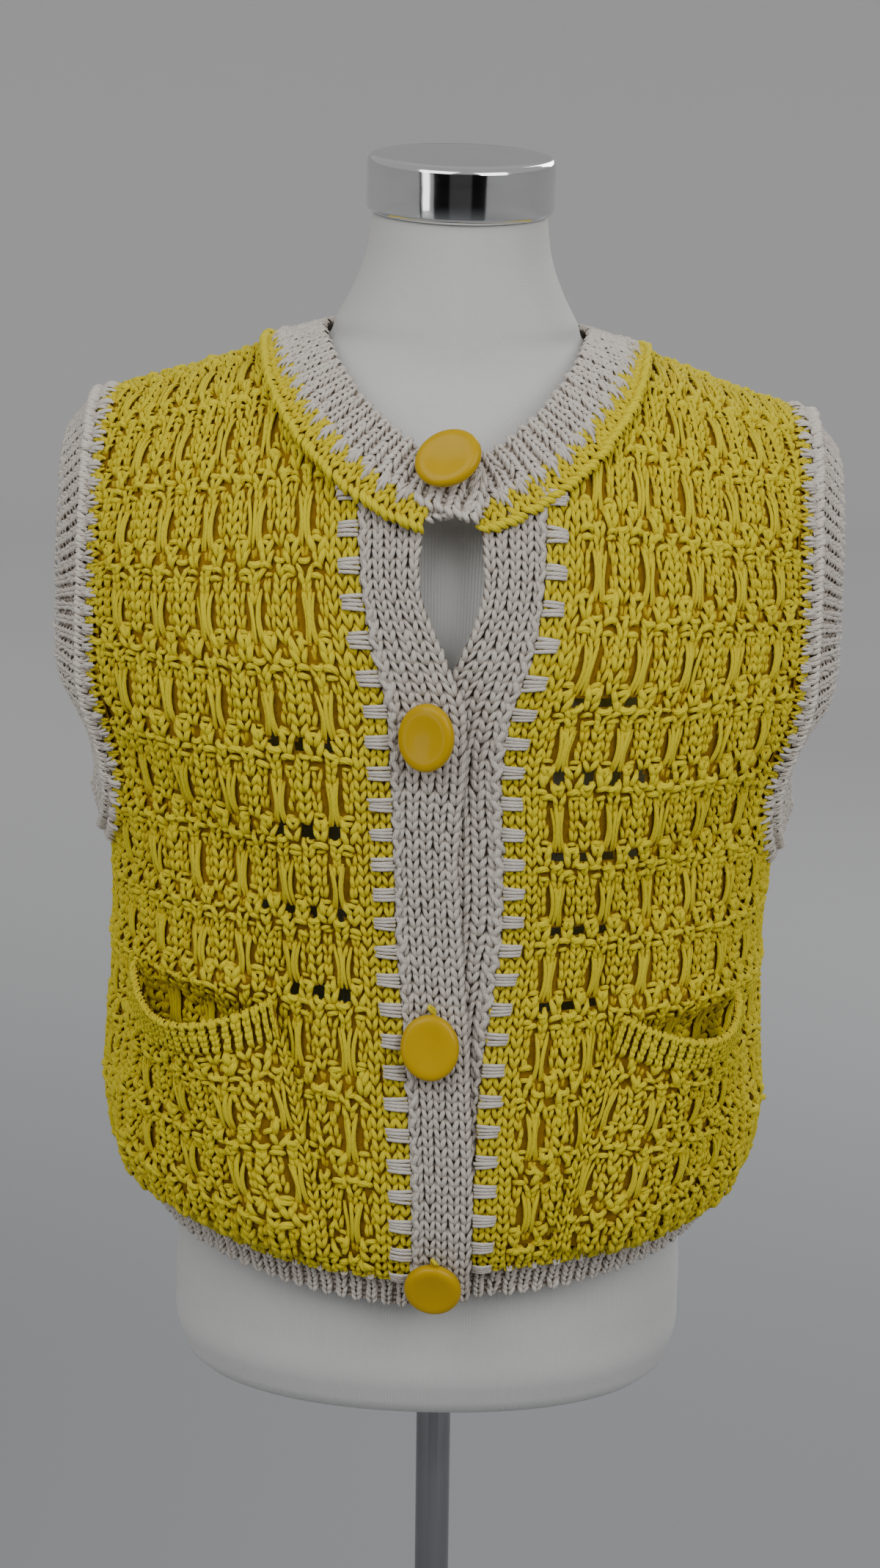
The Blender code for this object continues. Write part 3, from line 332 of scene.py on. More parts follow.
class Face:
    """One face of the vest as a dense grid: rows go up, columns go from -X to +X."""

    def __init__(self, name, facing, drop=0.0):
        self.facing = facing
        points = np.concatenate((self.body_rows(), self.yoke_rows()[1:]), axis=0)
        if drop:
            share = np.where(points[..., 0] > 0, 1.0, 1.0 - side_share(points))
            points[..., 2] -= drop * share * smooth_step((CHEST_HEIGHT - points[..., 2]) / DROP_SPAN)
        sides = side_share(points) ** 2
        points[..., 2] += HEM_SIDE_RISE * sides * smooth_step((RISE_TOP - points[..., 2]) / RISE_SPAN)
        plain = self.normals_of(points)
        fade = smooth_step((points[..., 2] - FOLD_FOOT) / FOLD_FADE)
        relief = fold_relief(name, points[..., 0], points[..., 2]) * fade
        self.points = points + plain * relief[..., None]
        self.normals = self.normals_of(self.points)
        steps = np.linalg.norm(np.diff(points[BODY_LEVELS:], axis=0), axis=2)
        self.to_shoulder = np.zeros(points.shape[:2])
        self.to_shoulder[BODY_LEVELS:-1] = np.cumsum(steps[::-1], axis=0)[::-1]

    def body_rows(self):
        z = height_of_level(np.arange(BODY_LEVELS + 1))
        half, front, back = section_values(z, BODY_SECTIONS)
        depth = front if self.facing < 0 else back
        angle = np.radians(ANGLES)
        power = 2.0 / SECTION_POWER
        x = half[:, None] * signed_power(np.sin(angle), power)
        y = self.facing * depth[:, None] * np.abs(np.cos(angle)) ** power
        return np.stack((x, y, np.broadcast_to(z[:, None], x.shape)), axis=-1)

    def yoke_rows(self):
        chest = self.body_rows()[-1]
        turn = np.linspace(0.0, math.pi / 2, YOKE_LEVELS + 1)[:, None]
        depth_power, height_power = YOKE_POWERS[self.facing]
        inward = np.abs(np.cos(turn)) ** depth_power
        upward = np.sin(turn) ** height_power
        x = np.broadcast_to(chest[:, 0], (YOKE_LEVELS + 1, len(ANGLES)))
        y = SHOULDER_Y + (chest[:, 1] - SHOULDER_Y) * inward
        z = CHEST_HEIGHT + (shoulder_height(x) - CHEST_HEIGHT) * upward
        return np.stack((x, y, z), axis=-1)

    def normals_of(self, points):
        along_rows = np.gradient(points, axis=1)
        up_columns = np.gradient(points, axis=0)
        return unit(np.cross(along_rows, up_columns) * -self.facing)

    def sample(self, grid, level, angle):
        row = np.clip(np.asarray(level, dtype=float), 0, grid.shape[0] - 1.000001)
        column = np.clip(np.asarray(angle, dtype=float) + 90.0, 0, grid.shape[1] - 1.000001)
        r = row.astype(int)
        c = column.astype(int)
        return bilinear(grid, r, c, row - r, column - c)

    def at(self, level, angle):
        return self.sample(self.points, level, angle), unit(self.sample(self.normals, level, angle))

    def angle_of_x(self, x, level):
        half = body_half_width(height_of_level(level))
        ratio = np.clip(np.abs(x) / half, 0.0, 1.0) ** (SECTION_POWER / 2)
        return np.sign(x) * np.degrees(np.arcsin(ratio))

    def level_of_distance(self, angle, distance):
        rows = np.arange(self.points.shape[0], dtype=float)
        lengths = self.sample(self.to_shoulder, rows, np.full_like(rows, angle))
        yoke = slice(BODY_LEVELS, None)
        return np.interp(-distance, -lengths[yoke], rows[yoke])


def armhole_angle(level):
    rise = np.clip((height_of_level(level) - UNDERARM_HEIGHT) / ARMHOLE_ROUND, 0.0, 1.0)
    return 90.0 - ARMHOLE_TURN * np.sqrt(1.0 - (1.0 - rise) ** 2)


def neck_half_path(start_x, count=240):
    """Neck edge of the half at +x as (x, d) points, d measured from the shoulder line."""
    reach = NECK_HALF_WIDTH + NECK_CENTRE_SHIFT
    t_start = (start_x + NECK_CENTRE_SHIFT) / reach
    turn = np.linspace(math.asin(t_start ** (NECK_POWER / 2)), math.pi / 2, count)
    front_x = reach * np.sin(turn) ** (2 / NECK_POWER) - NECK_CENTRE_SHIFT
    front_d = NECK_FRONT_DROP * np.maximum(np.cos(turn), 0.0) ** (2 / NECK_POWER)
    turn = np.linspace(0.0, math.pi / 2, count)[1:]
    back_x = NECK_HALF_WIDTH * np.cos(turn)
    back_d = -NECK_BACK_DROP * np.sin(turn)
    return np.stack((np.concatenate((front_x, back_x)), np.concatenate((front_d, back_d))), axis=1)


NECK_EDGE = neck_half_path(0.0)


def distance_outside_neck(x, d):
    """How far points of the cloth lie outside the neck edge, for arrays."""
    x = np.abs(np.asarray(x, dtype=float))
    d = np.asarray(d, dtype=float)
    gaps = np.hypot(x[..., None] - NECK_EDGE[:, 0], d[..., None] - NECK_EDGE[:, 1])
    nearest = np.argmin(gaps, axis=-1)
    before = NECK_EDGE[np.maximum(nearest - 1, 0)]
    after = NECK_EDGE[np.minimum(nearest + 1, len(NECK_EDGE) - 1)]
    run = after - before
    side = run[..., 1] * (x - NECK_EDGE[nearest, 0]) - run[..., 0] * (d - NECK_EDGE[nearest, 1])
    gap = np.take_along_axis(gaps, nearest[..., None], axis=-1)[..., 0]
    return np.where(side > 0, -gap, gap)


def placket_value(column, z):
    heights = [row.height for row in PLACKET_ROWS]
    return smooth_column(z, heights, [getattr(row, column) for row in PLACKET_ROWS])


def seam_of(face, column):
    """The angle of a front's seam with its placket, at any level."""
    return lambda level: face.angle_of_x(placket_value(column, height_of_level(level)), level)


def row_angles(face, level, start_angle, end_angle, fractions):
    """Angles that divide one row of cloth by its length."""
    angles = np.linspace(start_angle, end_angle, 60)
    points = face.at(np.full_like(angles, level), angles)[0]
    length = running_length(points)
    return np.interp(fractions * length[-1], length, angles)


right_face = Face("right_front", -1, RIGHT_FRONT_DROP)
left_face = Face("left_front", -1)
back_face = Face("back", 1)


# ---------------------------------------------------------------- lattices of stitches
class Lattice:
    """Cloth as rows and columns of stitches; cell is a stitch's nominal width and height."""

    def __init__(self, points, normals, cell):
        self.points = points
        self.normals = normals
        self.cell = cell
        self.rows = points.shape[0] - 1
        self.columns = points.shape[1] - 1
        r = self.rows // 2
        c = self.columns // 2
        across = points[r, c + 1] - points[r, c]
        up = points[r + 1, c] - points[r, c]
        self.flip = float(np.dot(np.cross(across, up), normals[r, c])) < 0

    def mix(self, grid, column, row):
        r = np.clip(np.floor(row).astype(int), 0, self.rows - 1)
        c = np.clip(np.floor(column).astype(int), 0, self.columns - 1)
        return bilinear(grid, r, c, row - r, column - c)

    def place(self, column, row, height):
        column = np.asarray(column, dtype=float)
        row = np.asarray(row, dtype=float)
        normal = unit(self.mix(self.normals, column, row))
        return self.mix(self.points, column, row) + normal * np.asarray(height)[..., None]


STRAND_WRAP = 1.85            # half the arc of a strand's round top, in radians
TWIST = 12.0                  # degrees that a loose strand turns, for each millimetre
UNSHADED_HEIGHT = 4.6            # millimetres above the cloth where the painted crevice shade ends and the yarn has its own full colour
Strand = namedtuple("Strand", "points quads along around")


def strand(path, radius, rings=4, sides=3, taper=0.72, squash=0.9):
    """Rounded strand along a path of (across, up, height), all in millimetres."""
    line = smooth_line(path, rings)
    run = unit(np.gradient(line, axis=0))
    side = unit(np.stack((run[:, 1], -run[:, 0], np.zeros(rings)), axis=1))
    up = np.cross(side, run)
    up = up * np.where(up[:, 2:3] < 0, -1.0, 1.0)
    thick = radius * (taper + (1 - taper) * np.sin(math.pi * np.linspace(0.0, 1.0, rings)) ** 0.6)
    turn = np.linspace(-STRAND_WRAP, STRAND_WRAP, sides + 1)
    points = (line[:, None] + side[:, None] * (thick[:, None] * np.sin(turn))[..., None]
              + up[:, None] * (thick[:, None] * np.cos(turn) * squash)[..., None])
    along = np.repeat(running_length(line)[:, None], sides + 1, axis=1)
    around = np.repeat(turn[None, :], rings, axis=0) / (2 * math.pi)
    quads = grid_quads(rings, sides + 1)
    flat = points.reshape(-1, 3)
    first = flat[quads[0]]
    outward = np.cross(first[1] - first[0], first[3] - first[0])
    if np.dot(outward, line[0] - first.mean(axis=0)) > 0:
        quads = quads[:, ::-1]
    return Strand(flat, quads, along.ravel(), around.ravel())


class Yarn:
    """Collects strands that lie on lattices and makes them one mesh."""

    def __init__(self, seed):
        self.random = np.random.default_rng(seed)
        self.points, self.quads, self.uv, self.tone, self.tint = [], [], [], [], []
        self.count = 0

    def add(self, lattice, piece, columns, rows, mirror=False, loose=0.30, turn=0.0, lift=0.0,
            scale=1.0, uneven=0.07):
        """Lay one copy of a strand at each (column, row)."""
        columns = np.asarray(columns, dtype=float)
        rows = np.asarray(rows, dtype=float)
        many = len(columns)
        if many == 0:
            return
        pick = self.random
        loose = np.broadcast_to(np.asarray(loose, dtype=float), many)
        size = scale * (1.0 + uneven * pick.standard_normal(many))[:, None]
        angle = np.radians(turn + TWIST * loose * pick.standard_normal(many))[:, None]
        x = piece.points[None, :, 0] * (-1.0 if mirror else 1.0) * size
        y = piece.points[None, :, 1] * size
        h = piece.points[None, :, 2] * (0.5 + 0.5 * size)
        turned_x = x * np.cos(angle) - y * np.sin(angle) + (loose * pick.standard_normal(many))[:, None]
        turned_y = x * np.sin(angle) + y * np.cos(angle) + (loose * pick.standard_normal(many))[:, None]
        h = h + (0.4 * loose * pick.standard_normal(many))[:, None] + lift
        column = columns[:, None] + turned_x * MM / lattice.cell[0]
        row = rows[:, None] + turned_y * MM / lattice.cell[1]
        placed = lattice.place(column, row, h * MM)
        quads = piece.quads[:, ::-1] if mirror != lattice.flip else piece.quads
        self.points.append(placed.reshape(-1, 3))
        n = piece.points.shape[0]
        offsets = self.count + n * np.arange(many)
        self.quads.append((quads[None] + offsets[:, None, None]).reshape(-1, 4))
        start = pick.uniform(0, 10, many)[:, None]
        along = piece.along[None, :] + start
        around = np.broadcast_to(piece.around[None, :], along.shape)
        self.uv.append(np.stack((along, around), axis=-1).reshape(-1, 2))
        # painted crevice shade: a point's height above the cloth sets how far its colour goes towards the
        # shade colour
        self.tone.append(np.clip(h / UNSHADED_HEIGHT, 0.0, 1.0).ravel())
        tint = np.broadcast_to(pick.uniform(0, 1, many)[:, None], along.shape)
        self.tint.append(tint.ravel())
        self.count += n * many

    def pair(self, lattice, piece, columns, rows, **more):
        """A strand and its mirror image, the two legs of a stitch."""
        self.add(lattice, piece, columns, rows, mirror=False, **more)
        self.add(lattice, piece, columns, rows, mirror=True, **more)

    def build(self, name, knit):
        quads = np.concatenate(self.quads)
        obj = quad_object(name, leaned(np.concatenate(self.points)), quads, knit.yarn)
        add_yarn_data(obj, quads, *map(np.concatenate, (self.uv, self.tone, self.tint)))
        dress(obj, knit.slot)
        return obj


def quad_object(name, points, quads, material):
    data = bpy.data.meshes.new(name)
    data.vertices.add(len(points))
    data.vertices.foreach_set("co", np.asarray(points, dtype=np.float32).ravel())
    data.loops.add(4 * len(quads))
    data.loops.foreach_set("vertex_index", np.asarray(quads, dtype=np.int32).ravel())
    data.polygons.add(len(quads))
    data.polygons.foreach_set("loop_start", np.arange(0, 4 * len(quads), 4, dtype=np.int32))
    data.update(calc_edges=True)
    data.validate()
    data.shade_smooth()
    obj = bpy.data.objects.new(name, data)
    bpy.context.scene.collection.objects.link(obj)
    data.materials.append(material)
    return obj


def add_yarn_data(obj, quads, uv, tone, tint):
    """What the yarn's material reads: length along and turn around it, its height for the painted crevice
    shade, and a random tint.
    """
    obj.data.uv_layers.new(name="yarn").data.foreach_set("uv", uv[quads.ravel()].ravel())
    for label, values in (("tone", tone), ("tint", tint)):
        layer = obj.data.attributes.new(label, "FLOAT", "POINT")
        layer.data.foreach_set("value", values.astype(np.float32))


def grid_object(name, points, material, keep, flip):
    """Open sheet through a grid of points; keep says which cells stay, or is None for all."""
    quads = grid_quads(*points.shape[:2])
    if keep is not None:
        quads = quads[keep.ravel()]
    if flip:
        quads = quads[:, ::-1]
    used, back = np.unique(quads.ravel(), return_inverse=True)
    return quad_object(name, leaned(points.reshape(-1, 3)[used]), back.reshape(-1, 4), material)


def cell_middles(grid):
    return (grid[:-1, :-1] + grid[1:, :-1] + grid[:-1, 1:] + grid[1:, 1:]) / 4


# ---------------------------------------------------------------- materials
class Surface:
    """A material built up node by node; inputs are numbers, colours or other nodes' outputs."""

    def __init__(self, name, settings):
        self.material = bpy.data.materials.new(name)
        self.material.use_nodes = True
        self.tree = self.material.node_tree
        self.shader = self.tree.nodes["Principled BSDF"]
        for label, value in settings.items():
            self.shader.inputs[label].default_value = value

    def node(self, kind, inputs, output=0, **settings):
        node = self.tree.nodes.new("ShaderNode" + kind)
        for label, value in settings.items():
            setattr(node, label, value)
        for label, value in inputs.items():
            if isinstance(value, bpy.types.NodeSocket):
                self.tree.links.new(value, node.inputs[label])
            else:
                node.inputs[label].default_value = value
        return node.outputs[output]

    def link(self, label, socket):
        self.tree.links.new(socket, self.shader.inputs[label])

    def split(self, vector):
        node = self.tree.nodes.new("ShaderNodeSeparateXYZ")
        self.tree.links.new(vector, node.inputs[0])
        return node.outputs

    def math(self, operation, *values):
        return self.node("Math", dict(enumerate(values)), operation=operation)

    def mix(self, factor, first, second):
        first, second = [(*c, 1.0) if isinstance(c, tuple) else c for c in (first, second)]
        return self.node("Mix", {0: factor, 6: first, 7: second}, 2, data_type="RGBA")

    def place(self):
        return self.node("TexCoord", {}, "Object")

    def noise(self, scale, detail=3.0, stretch=None):
        place = self.place()
        if stretch:
            place = self.node("Mapping", {"Scale": stretch, "Vector": place})
        return self.node("TexNoise", {"Scale": scale, "Detail": detail, "Vector": place}, "Fac")

    def bump(self, height, distance, strength=1.0):
        inputs = {"Distance": distance, "Strength": strength, "Height": height}
        self.link("Normal", self.node("Bump", inputs, "Normal"))


PLY_PITCH = 3.4               # millimetres of yarn from one ply to the next
PLIES = 3.0


def yarn_material(name, light, painted_shade_colour, pale):
    """Plied cotton with plies and fibres in relief; painted shade darkens the yarn low down in the stitches
    and in the grooves between the plies.
    """
    made = Surface(name, {"Roughness": 0.86, "Sheen Weight": 0.06, "Sheen Roughness": 0.5,
                          "Specular IOR Level": 0.25})
    uv = made.split(made.node("UVMap", {}, uv_map="yarn"))
    along = made.math("MULTIPLY", uv[0], math.pi / PLY_PITCH)
    around = made.math("MULTIPLY", uv[1], 2 * math.pi * PLIES)
    ply = made.math("ABSOLUTE", made.math("SINE", made.math("ADD", along, around)))
    fibre = made.math("MULTIPLY", made.noise(1400.0, 4.0), 0.7)
    made.bump(made.math("ADD", ply, fibre), 0.00035, 0.8)
    # painted crevice shade: the lower the yarn lies, the nearer its colour to the painted shade colour
    colour = made.mix(made.node("Attribute", {}, "Fac", attribute_name="tone"), painted_shade_colour, light)
    tint = made.node("Attribute", {}, "Fac", attribute_name="tint")
    colour = made.mix(made.math("MULTIPLY", tint, 0.35), colour, pale)
    # painted shade in the grooves between the plies
    painted_groove_shade = made.math("MULTIPLY", made.math("SUBTRACT", 1.0, ply), 0.22)
    made.link("Base Color", made.mix(painted_groove_shade, colour, painted_shade_colour))
    return made.material


def ground_material(name, colour, dark, inner):
    """The knit seen down between the strands, its outer colour darkened as painted shade for the pits, and
    its smoother inner face in the yarn's own colour.
    """
    made = Surface(name, {"Roughness": 0.92, "Specular IOR Level": 0.2})
    made.bump(made.math("ADD", made.noise(420.0), made.noise(1100.0)), 0.0005)
    # painted shade: the pits between the strands get a dark colour, with random mottling
    painted_pit_shade = made.mix(made.noise(180.0), colour, dark)
    behind = made.node("NewGeometry", {}, "Backfacing")
    made.link("Base Color", made.mix(behind, painted_pit_shade, inner))
    return made.material


YELLOW_LIGHT = (0.68, 0.580, 0.017)
BEIGE_LIGHT = (0.66, 0.605, 0.54)

Knit = namedtuple("Knit", "yarn ground slot")
# Each yarn's second colour is painted shade for the yarn low in the stitches and in its ply grooves; each
# ground's first two colours are painted shade for the pits between the strands.
YELLOW = Knit(
    yarn_material("yellow_yarn", YELLOW_LIGHT, (0.60, 0.38, 0.005), (0.73, 0.630, 0.024)),
    ground_material("yellow_ground_painted_shade", (0.33, 0.180, 0.004), (0.22, 0.120, 0.003), YELLOW_LIGHT),
    "yellow_knit")
BEIGE = Knit(
    yarn_material("beige_yarn", BEIGE_LIGHT, (0.46, 0.38, 0.31), (0.72, 0.675, 0.62)),
    ground_material("beige_ground_painted_shade", (0.50, 0.42, 0.345), (0.40, 0.33, 0.265), BEIGE_LIGHT),
    "beige_knit")
# The placket knit is a darker, painted-shade copy of the beige knit: the same yarn and the same slot.
SHADED_BEIGE = Knit(
    yarn_material("placket_yarn", (0.575, 0.525, 0.465), (0.32, 0.26, 0.205), (0.63, 0.585, 0.53)),
    ground_material("placket_ground_painted_shade", (0.24, 0.19, 0.15), (0.15, 0.115, 0.09), BEIGE_LIGHT),
    "beige_knit")
body_pieces = {}


def dress(obj, slot, *nodes):
    """The piece rides on the part and stands for its solids, which it hides; slot is not used."""
    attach(obj, "root")
    if nodes:
        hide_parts(*nodes)


def wear(node, cloth, slot, *yarns):
    """A cloth piece that stands for its solid, and the yarn that goes with it."""
    dress(cloth, slot, node)
    body_pieces[node] = (cloth, list(yarns))


# ---------------------------------------------------------------- stitches
# Each strand is given by points (across, up, height) in millimetres.
V_LEG = strand(((0.40, -1.7, 0.6), (1.00, 0.9, 3.2), (1.95, 3.5, 3.4), (3.00, 6.3, 0.9)), 1.42, taper=0.60)
CHAIN_LEG = strand(((0.50, -1.6, 0.7), (1.15, 1.0, 3.6), (2.05, 3.4, 3.9), (2.90, 6.2, 1.0)), 1.46,
                   taper=0.62)
SUNK_LEG = strand(((0.75, -1.5, 0.4), (1.05, 1.0, 2.6), (1.45, 3.3, 2.8), (1.80, 6.0, 0.6)), 1.30,
                  taper=0.62)
LONG_OUTER = strand(((3.2, 2.2, 1.0), (2.6, 6.5, 2.7), (1.85, 11.5, 3.2), (2.05, 17.0, 3.4),
                     (2.9, 22.5, 3.4), (4.0, 27.8, 1.5)), 1.10, rings=7, sides=4)
LONG_INNER = strand(((1.6, 2.4, 1.2), (1.1, 7.0, 3.2), (0.66, 12.0, 3.9), (0.78, 17.5, 4.1),
                     (1.4, 23.0, 3.8), (2.3, 28.2, 1.7)), 1.10, rings=7, sides=4)
BOW = strand(((-3.1, 0.7, 1.2), (-1.4, -0.7, 4.0), (1.5, -0.4, 4.3), (3.1, 0.9, 1.2)), 1.72, rings=6)
NUB = strand(((-3.0, -1.0, 0.9), (-1.4, 0.6, 3.9), (1.0, 0.9, 4.2), (2.9, -0.8, 0.9)), 1.74, rings=5)
NUB_LOW = strand(((-2.7, -0.9, 0.8), (-1.0, -0.3, 3.3), (1.4, 0.2, 3.5), (2.9, -1.0, 0.8)), 1.58, rings=5)
SMALL_NUB = strand(((-2.7, -0.4, 0.8), (0.0, 0.8, 3.5), (2.7, -0.4, 0.8)), 1.50)


# ---------------------------------------------------------------- body panels
REPEAT = 8                    # rows of the lace before it starts again
STITCH_WIDTH = 0.0070
ROW_HEIGHT = 0.0055
FRONT_WALES = 33
BACK_WALES = 74
PLAIN_WALES = (0.45, 1.35, 2.25)   # plain wales beside the placket, partly under the bars
LACE_START = 4.2              # first long stitch, counted in wales from the placket
GROUND_HEIGHT = 0.0010
EYELET_RADIUS = 0.0042
NO_EDGE = 1.0                 # a distance that is larger than any on the vest
NECK_REACH = 0.14             # half the width of the shoulders that the neck edge can reach
CLOTH_SWELL = 0.0011          # small uneven swells of the hanging cloth
GROUND_ROWS = 132

# Heights of the eyelet rows near the placket, from the lowest upwards; they set the rows' pitch.
FRONT_RIGHT_EYELETS = (1.050, 1.095, 1.142, 1.190)
FRONT_LEFT_EYELETS = (1.043, 1.087, 1.130, 1.176, 1.218)
BACK_EYELETS = (1.115, 1.160, 1.205)

EyeletRow = namedtuple("EyeletRow", "height first count")
OPEN_EYELETS = {
    "front_right": (EyeletRow(1.190, 0, 3), EyeletRow(1.142, 0, 3), EyeletRow(1.095, 0, 4),
                    EyeletRow(1.050, 0, 3)),
    "front_left": (EyeletRow(1.218, 0, 3), EyeletRow(1.176, 0, 4), EyeletRow(1.130, 0, 4),
                   EyeletRow(1.087, 0, 3), EyeletRow(1.043, 0, 3)),
    "back": (EyeletRow(1.205, 1, 4), EyeletRow(1.160, 1, 4), EyeletRow(1.115, 1, 3)),
}


def pocket_well(x, z):
    """Depth of the hollow in the front behind a pocket's mouth."""
    depth = np.zeros(np.shape(x))
    for spec in POCKETS:
        middle = spec.inner_x_high + WELL_HALF_WIDTH
        across = np.exp(-((spec.sign * x - middle) / WELL_HALF_WIDTH) ** 4)
        upper = smooth_step((spec.top + 0.004 - z) / 0.020)
        lower = smooth_step((z - spec.top + 0.080) / 0.030)
        depth = depth + WELL_DEPTH * across * upper * lower
    return depth


def armhole_line(sign):
    levels = np.linspace(level_of_height(UNDERARM_HEIGHT), TOP_LEVEL, 240)
    return levels, sign * armhole_angle(levels)


class Panel:
    """A knitted body panel: its lattice, where it ends, and its rows of lace."""

    def __init__(self, name, face, start_of, end_of, wales, eyelet_heights, measure_angle):
        self.name = name
        self.face = face
        self.wales = wales
        self.start_of = start_of
        self.end_of = end_of
        levels = np.arange(TOP_LEVEL + 1, dtype=float)
        line = face.at(levels, np.full_like(levels, measure_angle))[0]
        length = running_length(line)
        marks = np.interp(level_of_height(np.array(eyelet_heights)), levels, length)
        bottom = np.interp(level_of_height(HEM_HEIGHT), levels, length)
        step = (marks[-1] - marks[0]) / (REPEAT * (len(marks) - 1))
        low = int(math.ceil((marks[0] - bottom) / step))
        high = int(math.ceil((length[-1] - marks[-1]) / step))
        numbers = np.arange(-low, REPEAT * (len(marks) - 1) + high + 1)
        mark_rows = REPEAT * np.arange(len(marks))
        at = np.interp(numbers, mark_rows, marks)
        at = np.where(numbers < 0, marks[0] + numbers * step, at)
        at = np.where(numbers > mark_rows[-1], marks[-1] + (numbers - mark_rows[-1]) * step, at)
        at = np.clip(at, bottom, length[-1])
        self.row_levels = np.interp(at, length, levels)
        self.zero = low
        fractions = np.linspace(0.0, 1.0, wales + 1)
        angles = np.array([row_angles(face, level, start_of(level), end_of(level), fractions)
                           for level in self.row_levels])
        grid_levels = np.repeat(self.row_levels[:, None], wales + 1, axis=1)
        points, normals = self.surface(grid_levels, angles)
        self.lattice = Lattice(points, normals, (STITCH_WIDTH, step))
        self.x = points[..., 0]
        self.z = points[..., 2]
        self.neck = self.neck_distance(points, grid_levels, angles)
        self.side = self.armhole_distance(points, grid_levels, angles)

    def surface(self, levels, angles):
        """Points and normals of the cloth, with its small swells."""
        points, normals = self.face.at(levels, angles)
        swell = ripple(points[..., 0] * 40, points[..., 2] * 34, 11 + self.wales) * CLOTH_SWELL
        if self.name != "back":
            swell = swell - pocket_well(points[..., 0], points[..., 2])
        return points + normals * swell[..., None], normals

    def neck_distance(self, points, levels, angles):
        x = points[..., 0]
        d = self.face.sample(self.face.to_shoulder, levels, angles) * -self.face.facing
        distance = np.full(angles.shape, NO_EDGE)
        upper = (levels > BODY_LEVELS) & (np.abs(x) < NECK_REACH)
        distance[upper] = distance_outside_neck(x[upper], d[upper])
        return distance

    def armhole_distance(self, points, levels, angles):
        distance = np.full(angles.shape, NO_EDGE)
        for sign in (-1, 1):
            edge = self.face.at(*armhole_line(sign))[0][::3]
            gaps = np.linalg.norm(points[:, :, None] - edge[None, None], axis=-1).min(axis=-1)
            distance = np.minimum(distance, gaps)
        past = (np.abs(angles) > armhole_angle(levels)) & (levels > level_of_height(UNDERARM_HEIGHT))
        return np.where(past, -distance, distance)

    def keep(self, column, row, neck=NECK_CUT, side=0.0):
        """Whether a stitch lies on the panel, inside its curved edges."""
        column = np.asarray(column, dtype=float)
        row = np.asarray(row, dtype=float)
        inside = (column > -0.01) & (column < self.lattice.columns + 0.01)
        inside &= (row > -0.01) & (row < self.lattice.rows + 0.01)
        inside &= self.lattice.mix(self.neck, column, row) > neck
        return inside & (self.lattice.mix(self.side, column, row) > side)

    def hole_places(self, column_of):
        """Lattice places of the eyelets that are open, counted from the first long stitch."""
        places = []
        for spec in OPEN_EYELETS[self.name]:
            level = level_of_height(min(spec.height, CHEST_HEIGHT))
            row = float(np.interp(level, self.row_levels, np.arange(len(self.row_levels))))
            row = REPEAT * round((row - self.zero) / REPEAT) + self.zero
            for i in range(spec.first, spec.first + spec.count):
                places.append((float(column_of(LACE_START + 2 * i)), row - 0.2))
        return places

    def ground(self, material, holes, columns):
        """The thin sheet that carries the yarn, cut at the neck, the armholes and the eyelets."""
        levels = np.linspace(self.row_levels[0], TOP_LEVEL, GROUND_ROWS)
        fractions = np.linspace(0.0, 1.0, columns)

        def limit(angle, level):
            edge = armhole_angle(level)
            return float(np.clip(angle, -edge, edge))

        angles = np.array([row_angles(self.face, level, limit(self.start_of(level), level),
                                      limit(self.end_of(level), level), fractions) for level in levels])
        grid_levels = np.repeat(levels[:, None], columns, axis=1)
        points, normals = self.surface(grid_levels, angles)
        neck = self.neck_distance(points, grid_levels, angles)
        points = points + normals * GROUND_HEIGHT
        keep = cell_middles(neck) > NECK_CUT
        middles = cell_middles(points)
        for column, row in holes:
            centre = self.lattice.place(column, row, GROUND_HEIGHT)
            keep &= np.linalg.norm(middles - centre, axis=-1) > EYELET_RADIUS
        return grid_object(self.name + "_cloth", points, material, keep, self.lattice.flip)


def lace_places(panel, wales, column_of, step, phase, shift=0.0):
    """Columns and rows of one motif: every step wales, once in a repeat, at a phase."""
    wale = np.arange(LACE_START + shift, wales - 0.3, step)
    first = panel.zero % REPEAT - REPEAT
    wale, row = pairs_of(wale, np.arange(first, panel.lattice.rows + REPEAT, REPEAT) + phase)
    return column_of(wale), row


SHORT_PHASES = (0.75, 1.75, 2.75, 3.75, 4.60)


